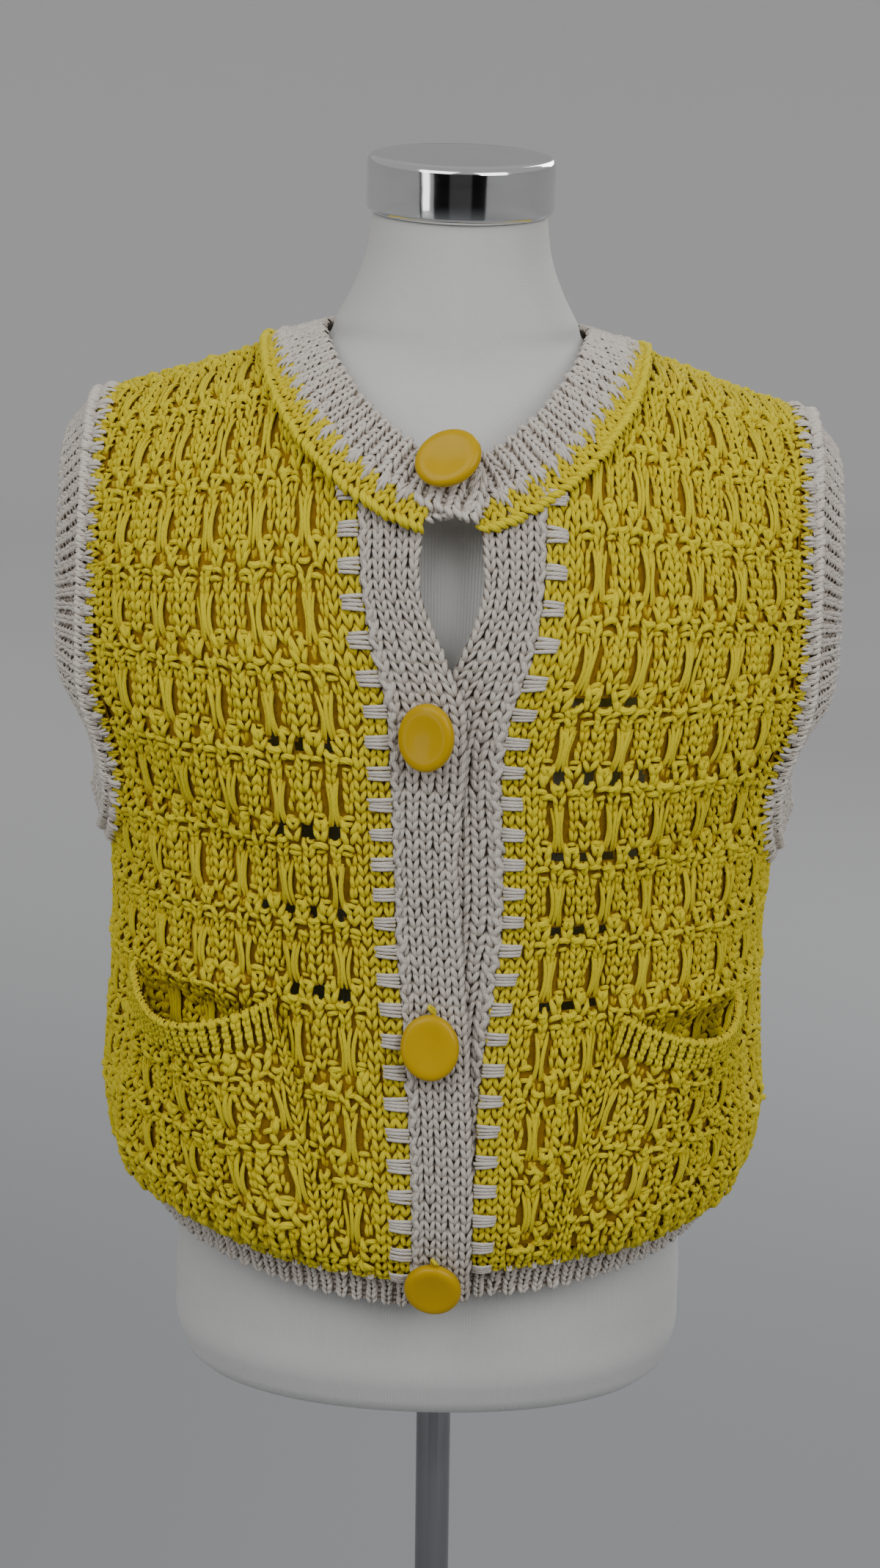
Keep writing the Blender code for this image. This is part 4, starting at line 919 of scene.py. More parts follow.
def lay_lace(yarn, panel, wales, column_of, keep, wild, holes=()):
    """The eyelet stitch: posts between eyelets, bows under them, long stitches, raised and sunk wales.

    wild(row) says how much looser than the rest the yarn lies there; holes are the open eyelets.
    """
    lattice = panel.lattice

    def lay(piece, step, phase, shift, loose, both=True, uneven=0.07, scale=1.0):
        column, row = lace_places(panel, wales, column_of, step, phase, shift=shift)
        wanted = keep(column, row)
        column, row = column[wanted], row[wanted]
        lay_one = yarn.pair if both else yarn.add
        lay_one(lattice, piece, column, row, loose=loose * wild(row), uneven=uneven, scale=scale)

    for phase in (-0.95, -0.05):
        lay(CHAIN_LEG, 2, phase, -1.0, 0.55, uneven=0.10, scale=1.12)
    lay(BOW, 2, 7.00, 0.0, 0.90, both=False, uneven=0.14)
    lay(CHAIN_LEG, 2, 6.05, 0.0, 0.60, uneven=0.12)
    lay(NUB, 2, 6.50, -1.0, 0.95, both=False, uneven=0.14)
    lay(NUB_LOW, 2, 5.85, -1.0, 0.95, both=False, uneven=0.14)
    lay(SMALL_NUB, 2, 1.22, -1.0, 0.70, both=False, uneven=0.14)
    lay(NUB_LOW, 2, 0.78, -1.0, 0.70, both=False, uneven=0.14)
    lay(CHAIN_LEG, 2, 5.30, 0.0, 0.45, scale=0.95)
    for phase in SHORT_PHASES:
        lay(CHAIN_LEG, 4, phase, 2.0, 0.34)
    for phase, aside in ((1.75, 1.14), (2.75, 1.22), (3.75, 1.18), (4.75, 1.05)):
        lay(SUNK_LEG, 4, phase, aside, 0.34)
        lay(SUNK_LEG, 4, phase, -aside, 0.34)
    column, row = lace_places(panel, wales, column_of, 2, -0.55)
    shut = keep(column, row)
    for hole_column, hole_row in holes:
        shut &= (np.abs(column - hole_column) > 0.5) | (np.abs(row - hole_row) > 1.5)
    yarn.pair(lattice, SUNK_LEG, column[shut], row[shut], loose=0.6, lift=-2.0, scale=1.05)
    column, row = lace_places(panel, wales, column_of, 4, 0.0)
    whole = keep(column, row) & keep(column, row + 4.5)
    for phase in (3.75, 4.55):
        yarn.pair(lattice, SUNK_LEG, column[whole], row[whole] + phase, loose=0.40)
    for piece in (LONG_OUTER, LONG_INNER):
        yarn.pair(lattice, piece, column[whole], row[whole], loose=0.17, uneven=0.04)
    for phase in SHORT_PHASES:
        short = ~whole & keep(column, row + phase)
        yarn.pair(lattice, CHAIN_LEG, column[short], row[short] + phase, loose=0.40)


def lay_plain(yarn, lattice, leg, columns, rows, keep, **more):
    """Plain knitting: every column and row given."""
    column, row = pairs_of(columns, rows)
    wanted = keep(column, row)
    yarn.pair(lattice, leg, column[wanted], row[wanted], **more)


# ---------------------------------------------------------------- body
ARMHOLE_TRIM = 0.0075
BODY_NECK_FRONT = NECKBAND_WIDTH + NECK_BORDER_WIDTH - 0.003
BODY_NECK_BACK = NECKBAND_WIDTH + NECK_BORDER_BACK_WIDTH - 0.003
BAR_SPACING = 0.0168
BAR_PLACE = 0.80              # middle of the bars, in wales from the placket
BAR_STRAND = strand(((-5.7, -0.2, 2.8), (-4.4, 0.1, 5.6), (4.2, 0.1, 5.8), (5.7, -0.2, 3.0)), 0.98,
                    rings=5, sides=4)
BAR_LIFTS = (-2.7, -0.9, 0.9, 2.7)
BAR_FAN = -1.1                # degrees that a strand of a bar turns, for each millimetre of lift
LOW_WILDNESS = 0.6            # how much rougher the knitting is near the hem


def same(column):
    return column


def under_pocket(spec, x, z):
    """Where the pocket hides the panel, well below its mouth."""
    share = np.clip((z - POCKET_BOTTOM) / (spec.top - POCKET_BOTTOM), 0.0, 1.0)
    inner = spec.inner_x_low + (spec.inner_x_high - spec.inner_x_low) * share
    across = np.abs(x) > inner + 0.006
    return across & (np.abs(x) < 0.155) & (z > POCKET_BOTTOM + 0.006) & (z < spec.top - 0.052)


def front_yarn(panel, pocket_spec, seed, holes):
    yarn = Yarn(seed)
    lattice = panel.lattice

    def keep(column, row):
        wanted = panel.keep(column, row, BODY_NECK_FRONT, ARMHOLE_TRIM)
        hidden = under_pocket(pocket_spec, lattice.mix(panel.x, column, row),
                              lattice.mix(panel.z, column, row))
        return wanted & ~hidden & (row < lattice.rows - 0.5)

    def wild(row):
        return 1.0 + LOW_WILDNESS * smooth_step((30.0 - row) / 12.0)

    lay_lace(yarn, panel, panel.wales, same, keep, wild, holes)
    lay_plain(yarn, lattice, V_LEG, np.arange(LACE_START - 1, panel.wales), (0.0,), keep, loose=0.6,
              uneven=0.12)
    plain_wales = PLAIN_WALES + (panel.wales - 0.1,)
    lay_plain(yarn, lattice, V_LEG, plain_wales, np.arange(0, lattice.rows), keep, loose=0.25)
    return yarn


def lay_bars(yarn, panel):
    """Beige bars, four strands each, beside the placket."""
    lattice = panel.lattice
    rows = np.arange(1.4, lattice.rows, BAR_SPACING / lattice.cell[1])
    rows = rows[panel.keep(np.full_like(rows, BAR_PLACE), rows, BODY_NECK_FRONT + 0.002)]
    for lift in BAR_LIFTS:
        yarn.add(lattice, BAR_STRAND, np.full_like(rows, BAR_PLACE), rows + lift / 5.5, loose=0.14,
                 uneven=0.05, turn=BAR_FAN * lift)


def right_side(level):
    return -90.0


def left_side(level):
    return 90.0


front_right = Panel("front_right", right_face, seam_of(right_face, "right_seam"), right_side,
                    FRONT_WALES, FRONT_RIGHT_EYELETS, -38.0)
front_left = Panel("front_left", left_face, seam_of(left_face, "left_seam"), left_side,
                   FRONT_WALES, FRONT_LEFT_EYELETS, 38.0)
back_panel = Panel("back", back_face, right_side, left_side, BACK_WALES, BACK_EYELETS, 30.0)

for panel, pocket_spec, seed in ((front_right, POCKETS[0], 21), (front_left, POCKETS[1], 22)):
    holes = panel.hole_places(same)
    cloth = panel.ground(YELLOW.ground, holes, 84)
    lace = front_yarn(panel, pocket_spec, seed, holes).build(panel.name + "_yarn", YELLOW)
    bars = Yarn(seed + 10)
    lay_bars(bars, panel)
    wear(panel.name, cloth, YELLOW.slot, lace, bars.build(panel.name + "_bars", BEIGE))

back_halves = []
back_holes = []
for side in (-1, 1):
    yarn = Yarn(30 + side)

    def keep(column, row, side=side):
        wanted = back_panel.keep(column, row, BODY_NECK_BACK, ARMHOLE_TRIM)
        half = (column - BACK_WALES / 2) * side
        return wanted & (half > -0.01 if side > 0 else half > 0.01) & (row < back_panel.lattice.rows - 0.5)

    def column_of(wale, side=side):
        return BACK_WALES / 2 + side * (np.asarray(wale) - LACE_START)

    holes = back_panel.hole_places(column_of)
    lay_lace(yarn, back_panel, BACK_WALES / 2 + LACE_START, column_of, keep, lambda row: 1.15, holes)
    edge = 0.4 if side < 0 else BACK_WALES - 0.4
    lay_plain(yarn, back_panel.lattice, V_LEG, (edge,), np.arange(back_panel.lattice.rows), keep,
              loose=0.25)
    lay_plain(yarn, back_panel.lattice, V_LEG, np.arange(BACK_WALES) + 0.5, (0.0,), keep, loose=0.5,
              uneven=0.12)
    back_halves.append(yarn.build("back_yarn_right" if side < 0 else "back_yarn_left", YELLOW))
    back_holes += holes

wear("back", back_panel.ground(YELLOW.ground, back_holes, 140), YELLOW.slot, *back_halves)


# ---------------------------------------------------------------- plackets
PLACKET_ROW = 0.0055
EDGE_SWELL = 0.0034           # how far the upper layer's free edge stands out
UNDER_DIP = LAYER * 1.45      # how far the lower layer sinks under the upper one
TURN_SPAN = 0.020             # height over which the two layers come to cross
PLACKET_LEG = strand(((0.30, -2.1, 0.3), (1.00, 0.5, 3.3), (2.10, 3.6, 3.8), (3.30, 6.7, 1.1)), 1.52,
                     rings=5, sides=4, taper=0.66)
BRAID = strand(((-2.3, -2.5, 1.6), (-1.2, 1.0, 4.8), (1.0, 5.0, 5.2), (2.2, 9.4, 1.8)), 1.55,
               rings=6, sides=4)
BRAID_PLACE = 0.34            # middle of the braid, in wales from the seam
PLACKET_WALES = 5
PLACKET_WALE = 0.0074


def upper_edge(z):
    """Where the right placket's free edge lies."""
    return placket_value("right_seam", z) + placket_value("right_width", z)


def placket_dip(x, z):
    under = smooth_step((upper_edge(z) + 0.015 - x) / 0.012)
    overlap = smooth_step((PLACKET_TURN_HEIGHT - z) / TURN_SPAN + 1.0)
    return -UNDER_DIP * under * overlap


def placket_piece(side, face, seed):
    """The right placket is the upper layer; both run from their seams towards the middle."""
    upper = side == "right"
    levels = np.linspace(level_of_height(PLACKET_BOTTOM), TOP_LEVEL, 400)
    middle = face.at(levels, np.zeros_like(levels))[0]
    heights = np.where(levels > BODY_LEVELS, middle[:, 2], height_of_level(levels))
    length = running_length(middle)
    rows = int(length[-1] / PLACKET_ROW)
    row_levels = np.interp(np.arange(rows + 1) * PLACKET_ROW, length, levels)
    z = np.interp(row_levels, levels, heights)[:, None]
    shares = np.linspace(0.0, 1.0, PLACKET_WALES + 1)[None, :]
    width = placket_value(side + "_width", z)
    x = placket_value(side + "_seam", z) + (1 if upper else -1) * shares * width
    grid_levels = np.broadcast_to(row_levels[:, None], x.shape)
    angles = face.angle_of_x(x, grid_levels)
    points, normals = face.at(grid_levels, angles)
    if upper:
        crossing = smooth_step((PLACKET_TURN_HEIGHT - z) / TURN_SPAN)
        swell = smooth_step((shares - 0.40) / 0.38) - 0.80 * smooth_step((shares - 0.84) / 0.16)
        points = points + normals * (EDGE_SWELL * swell * crossing)[..., None]
    else:
        points = points + normals * placket_dip(x, z)[..., None]
    d = face.sample(face.to_shoulder, grid_levels, angles)
    neck = np.full(x.shape, NO_EDGE)
    high = grid_levels > BODY_LEVELS
    neck[high] = distance_outside_neck(x[high], d[high])
    lattice = Lattice(points, normals, (PLACKET_WALE, PLACKET_ROW))
    uncovered = np.where(z > PLACKET_TURN_HEIGHT, NO_EDGE, x - upper_edge(z))

    def keep(column, row):
        wanted = lattice.mix(neck, column, row) > NECKBAND_WIDTH - 0.001
        if not upper:
            wanted &= lattice.mix(uncovered, column, row) > -0.006
        return wanted

    yarn = Yarn(seed)
    lay_plain(yarn, lattice, PLACKET_LEG, np.arange(PLACKET_WALES) + 0.5, np.arange(rows), keep,
              loose=0.20, uneven=0.04)
    for start, mirror in ((0, False), (1, True)):
        row = np.arange(start, rows, 2, dtype=float)
        row = row[keep(np.full_like(row, BRAID_PLACE), row)]
        yarn.add(lattice, BRAID, np.full_like(row, BRAID_PLACE), row, mirror=mirror, loose=0.3)
    column, row = np.meshgrid(np.linspace(0, PLACKET_WALES, 2 * PLACKET_WALES + 1),
                              np.linspace(0, rows, rows + 1))
    ground = lattice.place(column, row, np.full(column.shape, GROUND_HEIGHT))
    kept = cell_middles(lattice.mix(neck, column, row)) > NECKBAND_WIDTH - 0.004
    name = "placket_" + side
    cloth = grid_object(name + "_cloth", ground, SHADED_BEIGE.ground, kept, lattice.flip)
    wear(name, cloth, SHADED_BEIGE.slot, yarn.build(name + "_yarn", SHADED_BEIGE))


placket_piece("right", right_face, 41)
placket_piece("left", left_face, 42)


# ---------------------------------------------------------------- ribbed bands
RIB_ROW = 0.0028
RIB_LEG = strand(((0.40, -1.1, 1.3), (1.20, 0.7, 4.0), (2.15, 2.4, 3.8), (2.95, 4.4, 1.0)), 1.22)
GUTTER = strand(((-1.7, 0.0, 0.5), (0.0, 0.3, 1.6), (1.7, 0.0, 0.5)), 1.05, rings=3)
ROLL = strand(((-2.1, -1.9, 1.4), (-0.6, 0.4, 5.2), (0.9, 1.6, 5.2), (2.2, 3.0, 1.4)), 1.62, rings=5)
SPIKE_OUTER = strand(((0.7, -2.2, 3.2), (1.5, 0.4, 4.9), (2.3, 2.8, 4.8), (3.1, 5.2, 2.8)), 0.98,
                     rings=5)
SPIKE = strand(((0.3, -2.2, 3.4), (0.7, 1.5, 5.5), (1.2, 4.6, 5.5), (1.9, 7.6, 3.2)), 0.98, rings=5)
SPIKE_MIDDLE = strand(((0.0, -2.2, 3.6), (0.0, 2.5, 6.0), (0.0, 6.0, 5.9), (0.0, 9.6, 3.4)), 0.98,
                      rings=5)
RIB_PITCH = 0.0084
ARMBAND_PITCH = 0.0090
HEM_PITCH = 0.0092
BAND_RISE = 0.0003            # bands stand this much off the layer below
BAND_GROUND = 0.0006
LAP_RISE = LAYER * 1.08       # the end of the neckband lies this much higher, on its start


def lay_rib(yarn, lattice):
    """Raised columns of small stitches, with bars of yarn down in the gutters between."""
    rows = np.arange(lattice.rows)
    yarn.pair(lattice, RIB_LEG, *pairs_of(np.arange(lattice.columns) + 0.5, rows), loose=0.26)
    yarn.add(lattice, GUTTER, *pairs_of(np.arange(lattice.columns + 1), rows + 0.3), loose=0.2)


def lay_spikes(yarn, lattice, start_row, spacing, margin=0.5, scale=1.0):
    columns = np.arange(margin, lattice.columns - margin + 0.5, spacing)
    rows = np.full_like(columns, start_row)
    for piece in (SPIKE_OUTER, SPIKE):
        yarn.pair(lattice, piece, columns, rows, loose=0.45, scale=scale)
    yarn.add(lattice, SPIKE_MIDDLE, columns, rows, loose=0.5, scale=scale)


def neck_point(x, d):
    face = left_face if d >= 0 else back_face
    angle = float(face.angle_of_x(x, BODY_LEVELS))
    return face.at(face.level_of_distance(angle, abs(d)), angle)


def neck_path(start_x):
    half = neck_half_path(start_x)
    other = half[::-1] * np.array((-1.0, 1.0))
    return np.concatenate((half, other[1:]))


def neck_lattice(start_x, w_inner, w_outer, w_outer_back, pitch, row_height):
    """Lattice along the neck edge; its rows run outwards from the edge."""
    path = neck_path(start_x)
    columns = int(round(running_length(path)[-1] / pitch))
    path = resample(path, columns + 1)
    run = unit(np.gradient(path, axis=0))
    away = np.stack((-run[:, 1], run[:, 0]), axis=1)
    share = np.linspace(0.0, 1.0, columns + 1)
    rise = LAYER + BAND_RISE + LAP_RISE * smooth_step((share - 0.83) / 0.07)
    rows = int(round((w_outer - w_inner) / row_height))
    points = np.empty((rows + 1, columns + 1, 3))
    normals = np.empty((rows + 1, columns + 1, 3))
    for i in range(columns + 1):
        front = smooth_step(path[i, 1] / 0.080)
        reach = w_outer_back + (w_outer - w_outer_back) * front
        for j, w in enumerate(np.linspace(w_inner, reach, rows + 1)):
            x, d = path[i] + away[i] * w
            point, normal = neck_point(x, d)
            points[j, i] = point + normal * rise[i]
            normals[j, i] = normal
    return Lattice(points, normals, (pitch, row_height))


def band_cloth(name, lattice, material, across=2):
    column, row = np.meshgrid(np.linspace(0, lattice.columns, lattice.columns * across + 1),
                              np.linspace(0, lattice.rows, lattice.rows + 1))
    points = lattice.place(column, row, np.full(column.shape, BAND_GROUND))
    return grid_object(name, points, material, None, lattice.flip)


BORDER_START = 0.0215
neck = neck_lattice(-NECK_END_PAST_CENTRE, 0.0, BORDER_START + 0.002, BORDER_START + 0.002, RIB_PITCH,
                    RIB_ROW)
yarn = Yarn(51)
lay_rib(yarn, neck)
edge_rows = np.arange(0.0, neck.rows - 2.2, 1.8)
yarn.pair(neck, PLACKET_LEG, np.full_like(edge_rows, neck.columns - 0.35), edge_rows, loose=0.2, lift=1.4,
          scale=0.9)
ends = np.concatenate((np.arange(0.2, 3.0, 0.45), np.arange(neck.columns - 3.0, neck.columns, 0.45)))
yarn.add(neck, ROLL, ends, np.full_like(ends, neck.rows - 0.2), loose=0.25, scale=0.9)
neck_yarn = yarn.build("neckband_yarn", BEIGE)
wear("neckband", band_cloth("neckband_cloth", neck, BEIGE.ground), BEIGE.slot, neck_yarn)

border = neck_lattice(0.001, BORDER_START, NECKBAND_WIDTH + NECK_BORDER_WIDTH,
                      NECKBAND_WIDTH + NECK_BORDER_BACK_WIDTH, 0.0052, 0.0042)
yarn = Yarn(52)
yarn.pair(border, V_LEG, *pairs_of(np.arange(border.columns) + 0.5, (0.0, 0.95, 1.9)), scale=0.86,
          loose=0.25)
roll = np.arange(0.2, border.columns, 0.62)
yarn.add(border, ROLL, roll, np.full_like(roll, border.rows - 0.7), loose=0.3)
border_yarn = yarn.build("neck_border_yarn", YELLOW)
spikes = Yarn(53)
lay_spikes(spikes, border, 0.0, 1.85, margin=2.6, scale=0.85)
border_spikes = spikes.build("neck_border_spikes", BEIGE)
wear("neck_border", band_cloth("neck_border_cloth", border, YELLOW.ground), YELLOW.slot, border_yarn,
     border_spikes)


def armband_piece(name, front_face, sign, seed):
    """Ribbed band round one armhole, and the yellow border on the body beside it."""
    levels, angles = armhole_line(sign)
    front_edge, back_edge = [np.concatenate(face.at(levels, angles), axis=1)
                             for face in (front_face, back_face)]
    edge = np.concatenate((front_edge, back_edge[::-1][1:]))
    columns = int(round(running_length(edge[:, :3])[-1] / ARMBAND_PITCH))
    both = resample(edge, columns + 1)
    both[-1] = both[0]
    points = both[:, :3]
    normals = unit(both[:, 3:])
    middle = np.array((0.0, 0.0, ARMHOLE_MIDDLE_Z))
    inward = unit((middle - points) * np.array((0.0, 1.0, 1.0)))
    sideways = np.array((float(sign), 0.0, 0.0))
    foot = smooth_step((ARMHOLE_MIDDLE_Z - 0.035 - points[:, 2:3]) / 0.085)
    out = ARMBAND_OUT + (ARMBAND_FOOT_OUT - ARMBAND_OUT) * foot
    run_in = np.sqrt(1 - out ** 2)
    direction = sideways * out + inward * run_in
    thick = sideways * run_in - inward * out
    start = points + normals * (LAYER + BAND_RISE)
    rows = int(round(ARMBAND_WIDTH / RIB_ROW))
    steps = np.linspace(0.0, ARMBAND_WIDTH, rows + 1)
    grid = start[None] + direction[None] * steps[:, None, None]
    lattice = Lattice(grid, np.broadcast_to(thick, grid.shape), (ARMBAND_PITCH, RIB_ROW))
    yarn = Yarn(seed)
    lay_rib(yarn, lattice)
    chain = np.arange(0.1, lattice.columns, 0.36)
    yarn.add(lattice, ROLL, chain, np.full_like(chain, 0.6), loose=0.3, lift=0.9)
    band_yarn = yarn.build(name + "_yarn", BEIGE)
    cloth = band_cloth(name + "_cloth", lattice, BEIGE.ground)
    # the border lies on the body, away from the armhole
    outwards = unit(np.cross(np.gradient(points, axis=0), normals))
    outwards = outwards * np.sign(((points - middle) * outwards)[:, 1:].sum(axis=1))[:, None]
    reach = ARMHOLE_TRIM + 0.003
    width = np.linspace(0.0, reach, 4)
    grid = (points + normals * (LAYER * 0.55))[None] + outwards[None] * width[:, None, None]
    border = Lattice(grid, np.broadcast_to(normals, grid.shape), (ARMBAND_PITCH, reach / 3))
    trim = Yarn(seed + 5)
    place = np.arange(0.3, border.columns, 0.58)
    for row in (0.0, 1.1):
        trim.pair(border, V_LEG, place, np.full_like(place, row), scale=0.86, loose=0.35)
    trim_yarn = trim.build(name + "_border_yarn", YELLOW)
    spikes = Yarn(seed + 6)
    lay_spikes(spikes, border, 0.0, 1.1)
    spike_yarn = spikes.build(name + "_border_spikes", BEIGE)
    ground = band_cloth(name + "_border_cloth", border, YELLOW.ground)
    dress(ground, YELLOW.slot)
    wear(name, cloth, BEIGE.slot, band_yarn, trim_yarn, spike_yarn, ground)


armband_piece("armband_right", right_face, -1, 61)
armband_piece("armband_left", left_face, 1, 71)


# ---------------------------------------------------------------- hem
HEM_ROWS = 7


def hem_lattice():
    """Lattice of the hem band, round the body from one placket seam to the other."""
    top_level = level_of_height(HEM_HEIGHT + 0.001)
    bottom_level = level_of_height(HEM_HEIGHT - HEM_BAND_DEPTH)
    right_end = placket_value("right_seam", HEM_HEIGHT) - 0.0016
    left_end = placket_value("left_seam", HEM_HEIGHT) + 0.0016
    right_end = float(right_face.angle_of_x(right_end, top_level))
    left_end = float(left_face.angle_of_x(left_end, top_level))
    runs = ((right_face, np.linspace(right_end, -90.0, 90)), (back_face, np.linspace(-90.0, 90.0, 180)),
            (left_face, np.linspace(left_end, 90.0, 90)[::-1]))
    stations = [(face, angle) for face, angles in runs for angle in angles]
    levels = np.linspace(bottom_level, top_level, HEM_ROWS + 1)
    line = np.array([face.at(top_level, angle)[0] for face, angle in stations])
    length = running_length(line)
    columns = int(round(length[-1] / HEM_PITCH))
    numbers = np.interp(np.linspace(0, length[-1], columns + 1), length, np.arange(len(stations)))
    points = np.empty((HEM_ROWS + 1, columns + 1, 3))
    normals = np.empty((HEM_ROWS + 1, columns + 1, 3))
    for i, number in enumerate(numbers):
        low = min(int(number), len(stations) - 2)
        share = number - low
        for j, level in enumerate(levels):
            ends = [face.at(level, angle) for face, angle in stations[low:low + 2]]
            normal = unit(ends[0][1] * (1 - share) + ends[1][1] * share)
            points[j, i] = ends[0][0] * (1 - share) + ends[1][0] * share - normal * (WALL + HEM_INSET)
            normals[j, i] = normal
    return Lattice(points, normals, (HEM_PITCH, HEM_BAND_DEPTH / HEM_ROWS))


hem = hem_lattice()
yarn = Yarn(81)
lay_rib(yarn, hem)
hem_yarn = yarn.build("hem_band_yarn", BEIGE)
hem_cloth = band_cloth("hem_band_cloth", hem, BEIGE.ground)
spikes = Yarn(85)
for panel in (front_right, front_left, back_panel):
    columns = np.arange(1.2, panel.wales, 2.0)
    rows = np.full_like(columns, 0.1)
    spikes.pair(panel.lattice, SPIKE, columns, rows, loose=0.35, scale=0.75)
    spikes.add(panel.lattice, SPIKE_MIDDLE, columns, rows, loose=0.4, scale=0.72)
wear("hem_band", hem_cloth, BEIGE.slot, hem_yarn, spikes.build("hem_spikes", BEIGE))


# ---------------------------------------------------------------- pockets
MOUTH_SHARE = 0.86            # the ribbed mouth starts at this share of the height
POCKET_WIDTH = 0.118
LaceField = namedtuple("LaceField", "lattice zero")
MOUTH_LEG = strand(((0.35, -1.6, 2.0), (0.60, 1.0, 5.4), (0.80, 3.2, 5.4), (0.95, 5.6, 2.2)), 1.08,
                   taper=0.8)


def pocket_lattice(spec, face, row_height, wale_width, low_share, high_share):
    rows = int(round((spec.top - POCKET_BOTTOM) * (high_share - low_share) / row_height))
    wales = int(round(POCKET_WIDTH / wale_width))
    points = np.empty((rows + 1, wales + 1, 3))
    normals = np.empty((rows + 1, wales + 1, 3))
    fractions = np.linspace(0.0, 1.0, wales + 1)
    across = np.sin(math.pi * fractions)
    for r, v in enumerate(np.linspace(low_share, high_share, rows + 1)):
        z = POCKET_BOTTOM + (spec.top - POCKET_BOTTOM) * v
        inner_x = spec.inner_x_low + (spec.inner_x_high - spec.inner_x_low) * v
        start = float(face.angle_of_x(spec.sign * inner_x, level_of_height(z)))
        end = spec.sign * (spec.outer_low + (spec.outer_high - spec.outer_low) * v)
        angles = row_angles(face, level_of_height(z), start, end, fractions)
        sag = spec.sag * across * v ** 1.6
        point, normal = face.at(level_of_height(z - sag), angles)
        out = LAYER + POCKET_CLEARANCE + POCKET_GAPE * across * v ** 2
        points[r] = point + normal * out[:, None]
        normals[r] = normal
    return Lattice(points, normals, (wale_width, row_height))


def pocket_piece(spec, face, seed):
    lattice = pocket_lattice(spec, face, ROW_HEIGHT, STITCH_WIDTH, 0.0, MOUTH_SHARE)
    yarn = Yarn(seed)

    def keep(column, row):
        inside = (column > 0.3) & (column < lattice.columns - 0.3)
        return inside & (row > -0.3) & (row < lattice.rows - 0.4)

    def column_of(wale):
        return wale - LACE_START + 1.0

    lay_lace(yarn, LaceField(lattice, 5), lattice.columns + LACE_START - 1.0, column_of, keep,
             lambda row: 1.7)
    edge_rows = np.arange(lattice.rows)
    for column in (0.1, lattice.columns - 0.1):
        yarn.pair(lattice, V_LEG, np.full(len(edge_rows), column), edge_rows, loose=0.2, scale=0.9)
    rib = pocket_lattice(spec, face, 0.0042, 0.005, MOUTH_SHARE, 1.0)
    yarn.pair(rib, MOUTH_LEG, *pairs_of(np.arange(rib.columns) + 0.5, np.arange(rib.rows)), loose=0.2)
    roll = np.arange(0.2, rib.columns, 0.62)
    yarn.add(rib, ROLL, roll, np.full_like(roll, rib.rows - 0.35), loose=0.25, scale=0.8)
    pocket_yarn = yarn.build(spec.name + "_yarn", YELLOW)
    whole = pocket_lattice(spec, face, ROW_HEIGHT, STITCH_WIDTH / 1.5, 0.0, 1.0)
    cloth = band_cloth(spec.name + "_cloth", whole, YELLOW.ground, across=1)
    wear(spec.name, cloth, YELLOW.slot, pocket_yarn)


pocket_piece(POCKETS[0], right_face, 91)
pocket_piece(POCKETS[1], left_face, 92)


# ---------------------------------------------------------------- dress form
def lathe(name, profile, segments, material, matrix=None, squash=1.0):
    """Turned shape from (radius, height) points, closed on its axis."""
    angle = 2 * math.pi * np.arange(segments) / segments
    radius, height = np.array(profile, dtype=float).T[:, :, None]
    points = np.stack((radius * np.cos(angle), radius * np.sin(angle) * squash,
                       np.broadcast_to(height, (len(profile), segments))), axis=-1).reshape(-1, 3)
    if matrix is not None:
        turn = np.array(matrix)
        points = points @ turn[:3, :3].T + turn[:3, 3]
    return quad_object(name, points, grid_quads(len(profile), segments, closed=True), material)


def rounded_profile(radius, bottom, height, edge, steps=6):
    """Profile of a disc or drum with rounded rims, from the axis round to the axis."""
    turn = np.linspace(0.0, math.pi / 2, steps)
    low = [(radius - edge + edge * math.sin(t), bottom + edge - edge * math.cos(t)) for t in turn]
    high = [(radius - edge + edge * math.cos(t), bottom + height - edge + edge * math.sin(t)) for t in turn]
    middle = [(radius, bottom + edge + (height - 2 * edge) * s) for s in (0.33, 0.66)]
    flat_low = [(radius * s, bottom) for s in (0.0, 0.3, 0.7)]
    flat_high = [(radius * s, bottom + height) for s in (0.7, 0.3, 0.0)]
    return flat_low + low + middle + high + flat_high


RIB_STEP = 0.0016
JERSEY_ROW_STEP = 0.0012
RIB_WIDTH_ON_FORM = 0.0088    # length of cloth round the form for one of its segments


def form_cloth_material():
    """Tight white jersey: fine upright ribs and rows, with painted shade in the grooves between the ribs."""
    made = Surface("form_jersey", {"Roughness": 0.80, "Sheen Weight": 0.10})
    uv = made.split(made.node("UVMap", {}, uv_map="cloth"))
    ribs = made.math("SINE", made.math("MULTIPLY", uv[0], 2 * math.pi / RIB_STEP))
    rows = made.math("SINE", made.math("MULTIPLY", uv[1], 2 * math.pi / JERSEY_ROW_STEP))
    height = made.math("ADD", ribs, made.math("MULTIPLY", rows, 0.35))
    height = made.math("ADD", height, made.math("MULTIPLY", made.noise(700.0), 0.5))
    made.bump(height, 0.00012, 0.6)
    shade = made.mix(made.noise(14.0), (0.55, 0.55, 0.54), (0.60, 0.60, 0.59))
    # painted shade in the grooves between the ribs
    painted_groove_shade = made.math("MULTIPLY", made.math("SUBTRACT", 1.0, ribs), 0.06)
    made.link("Base Color", made.mix(painted_groove_shade, shade, (0.50, 0.50, 0.49)))
    return made.material


def chrome_material(name, light, dark):
    made = Surface(name, {"Metallic": 1.0})
    wear_marks = {"Value": made.noise(60.0, 4.0), "To Min": 0.05, "To Max": 0.14}
    made.link("Roughness", made.node("MapRange", wear_marks, "Result"))
    made.link("Base Color", made.mix(made.noise(25.0), light, dark))
    return made.material


TORSO_SEGMENTS = 112
SHOULDER_TOP = 1.36           # the form's rings are closer together above this height


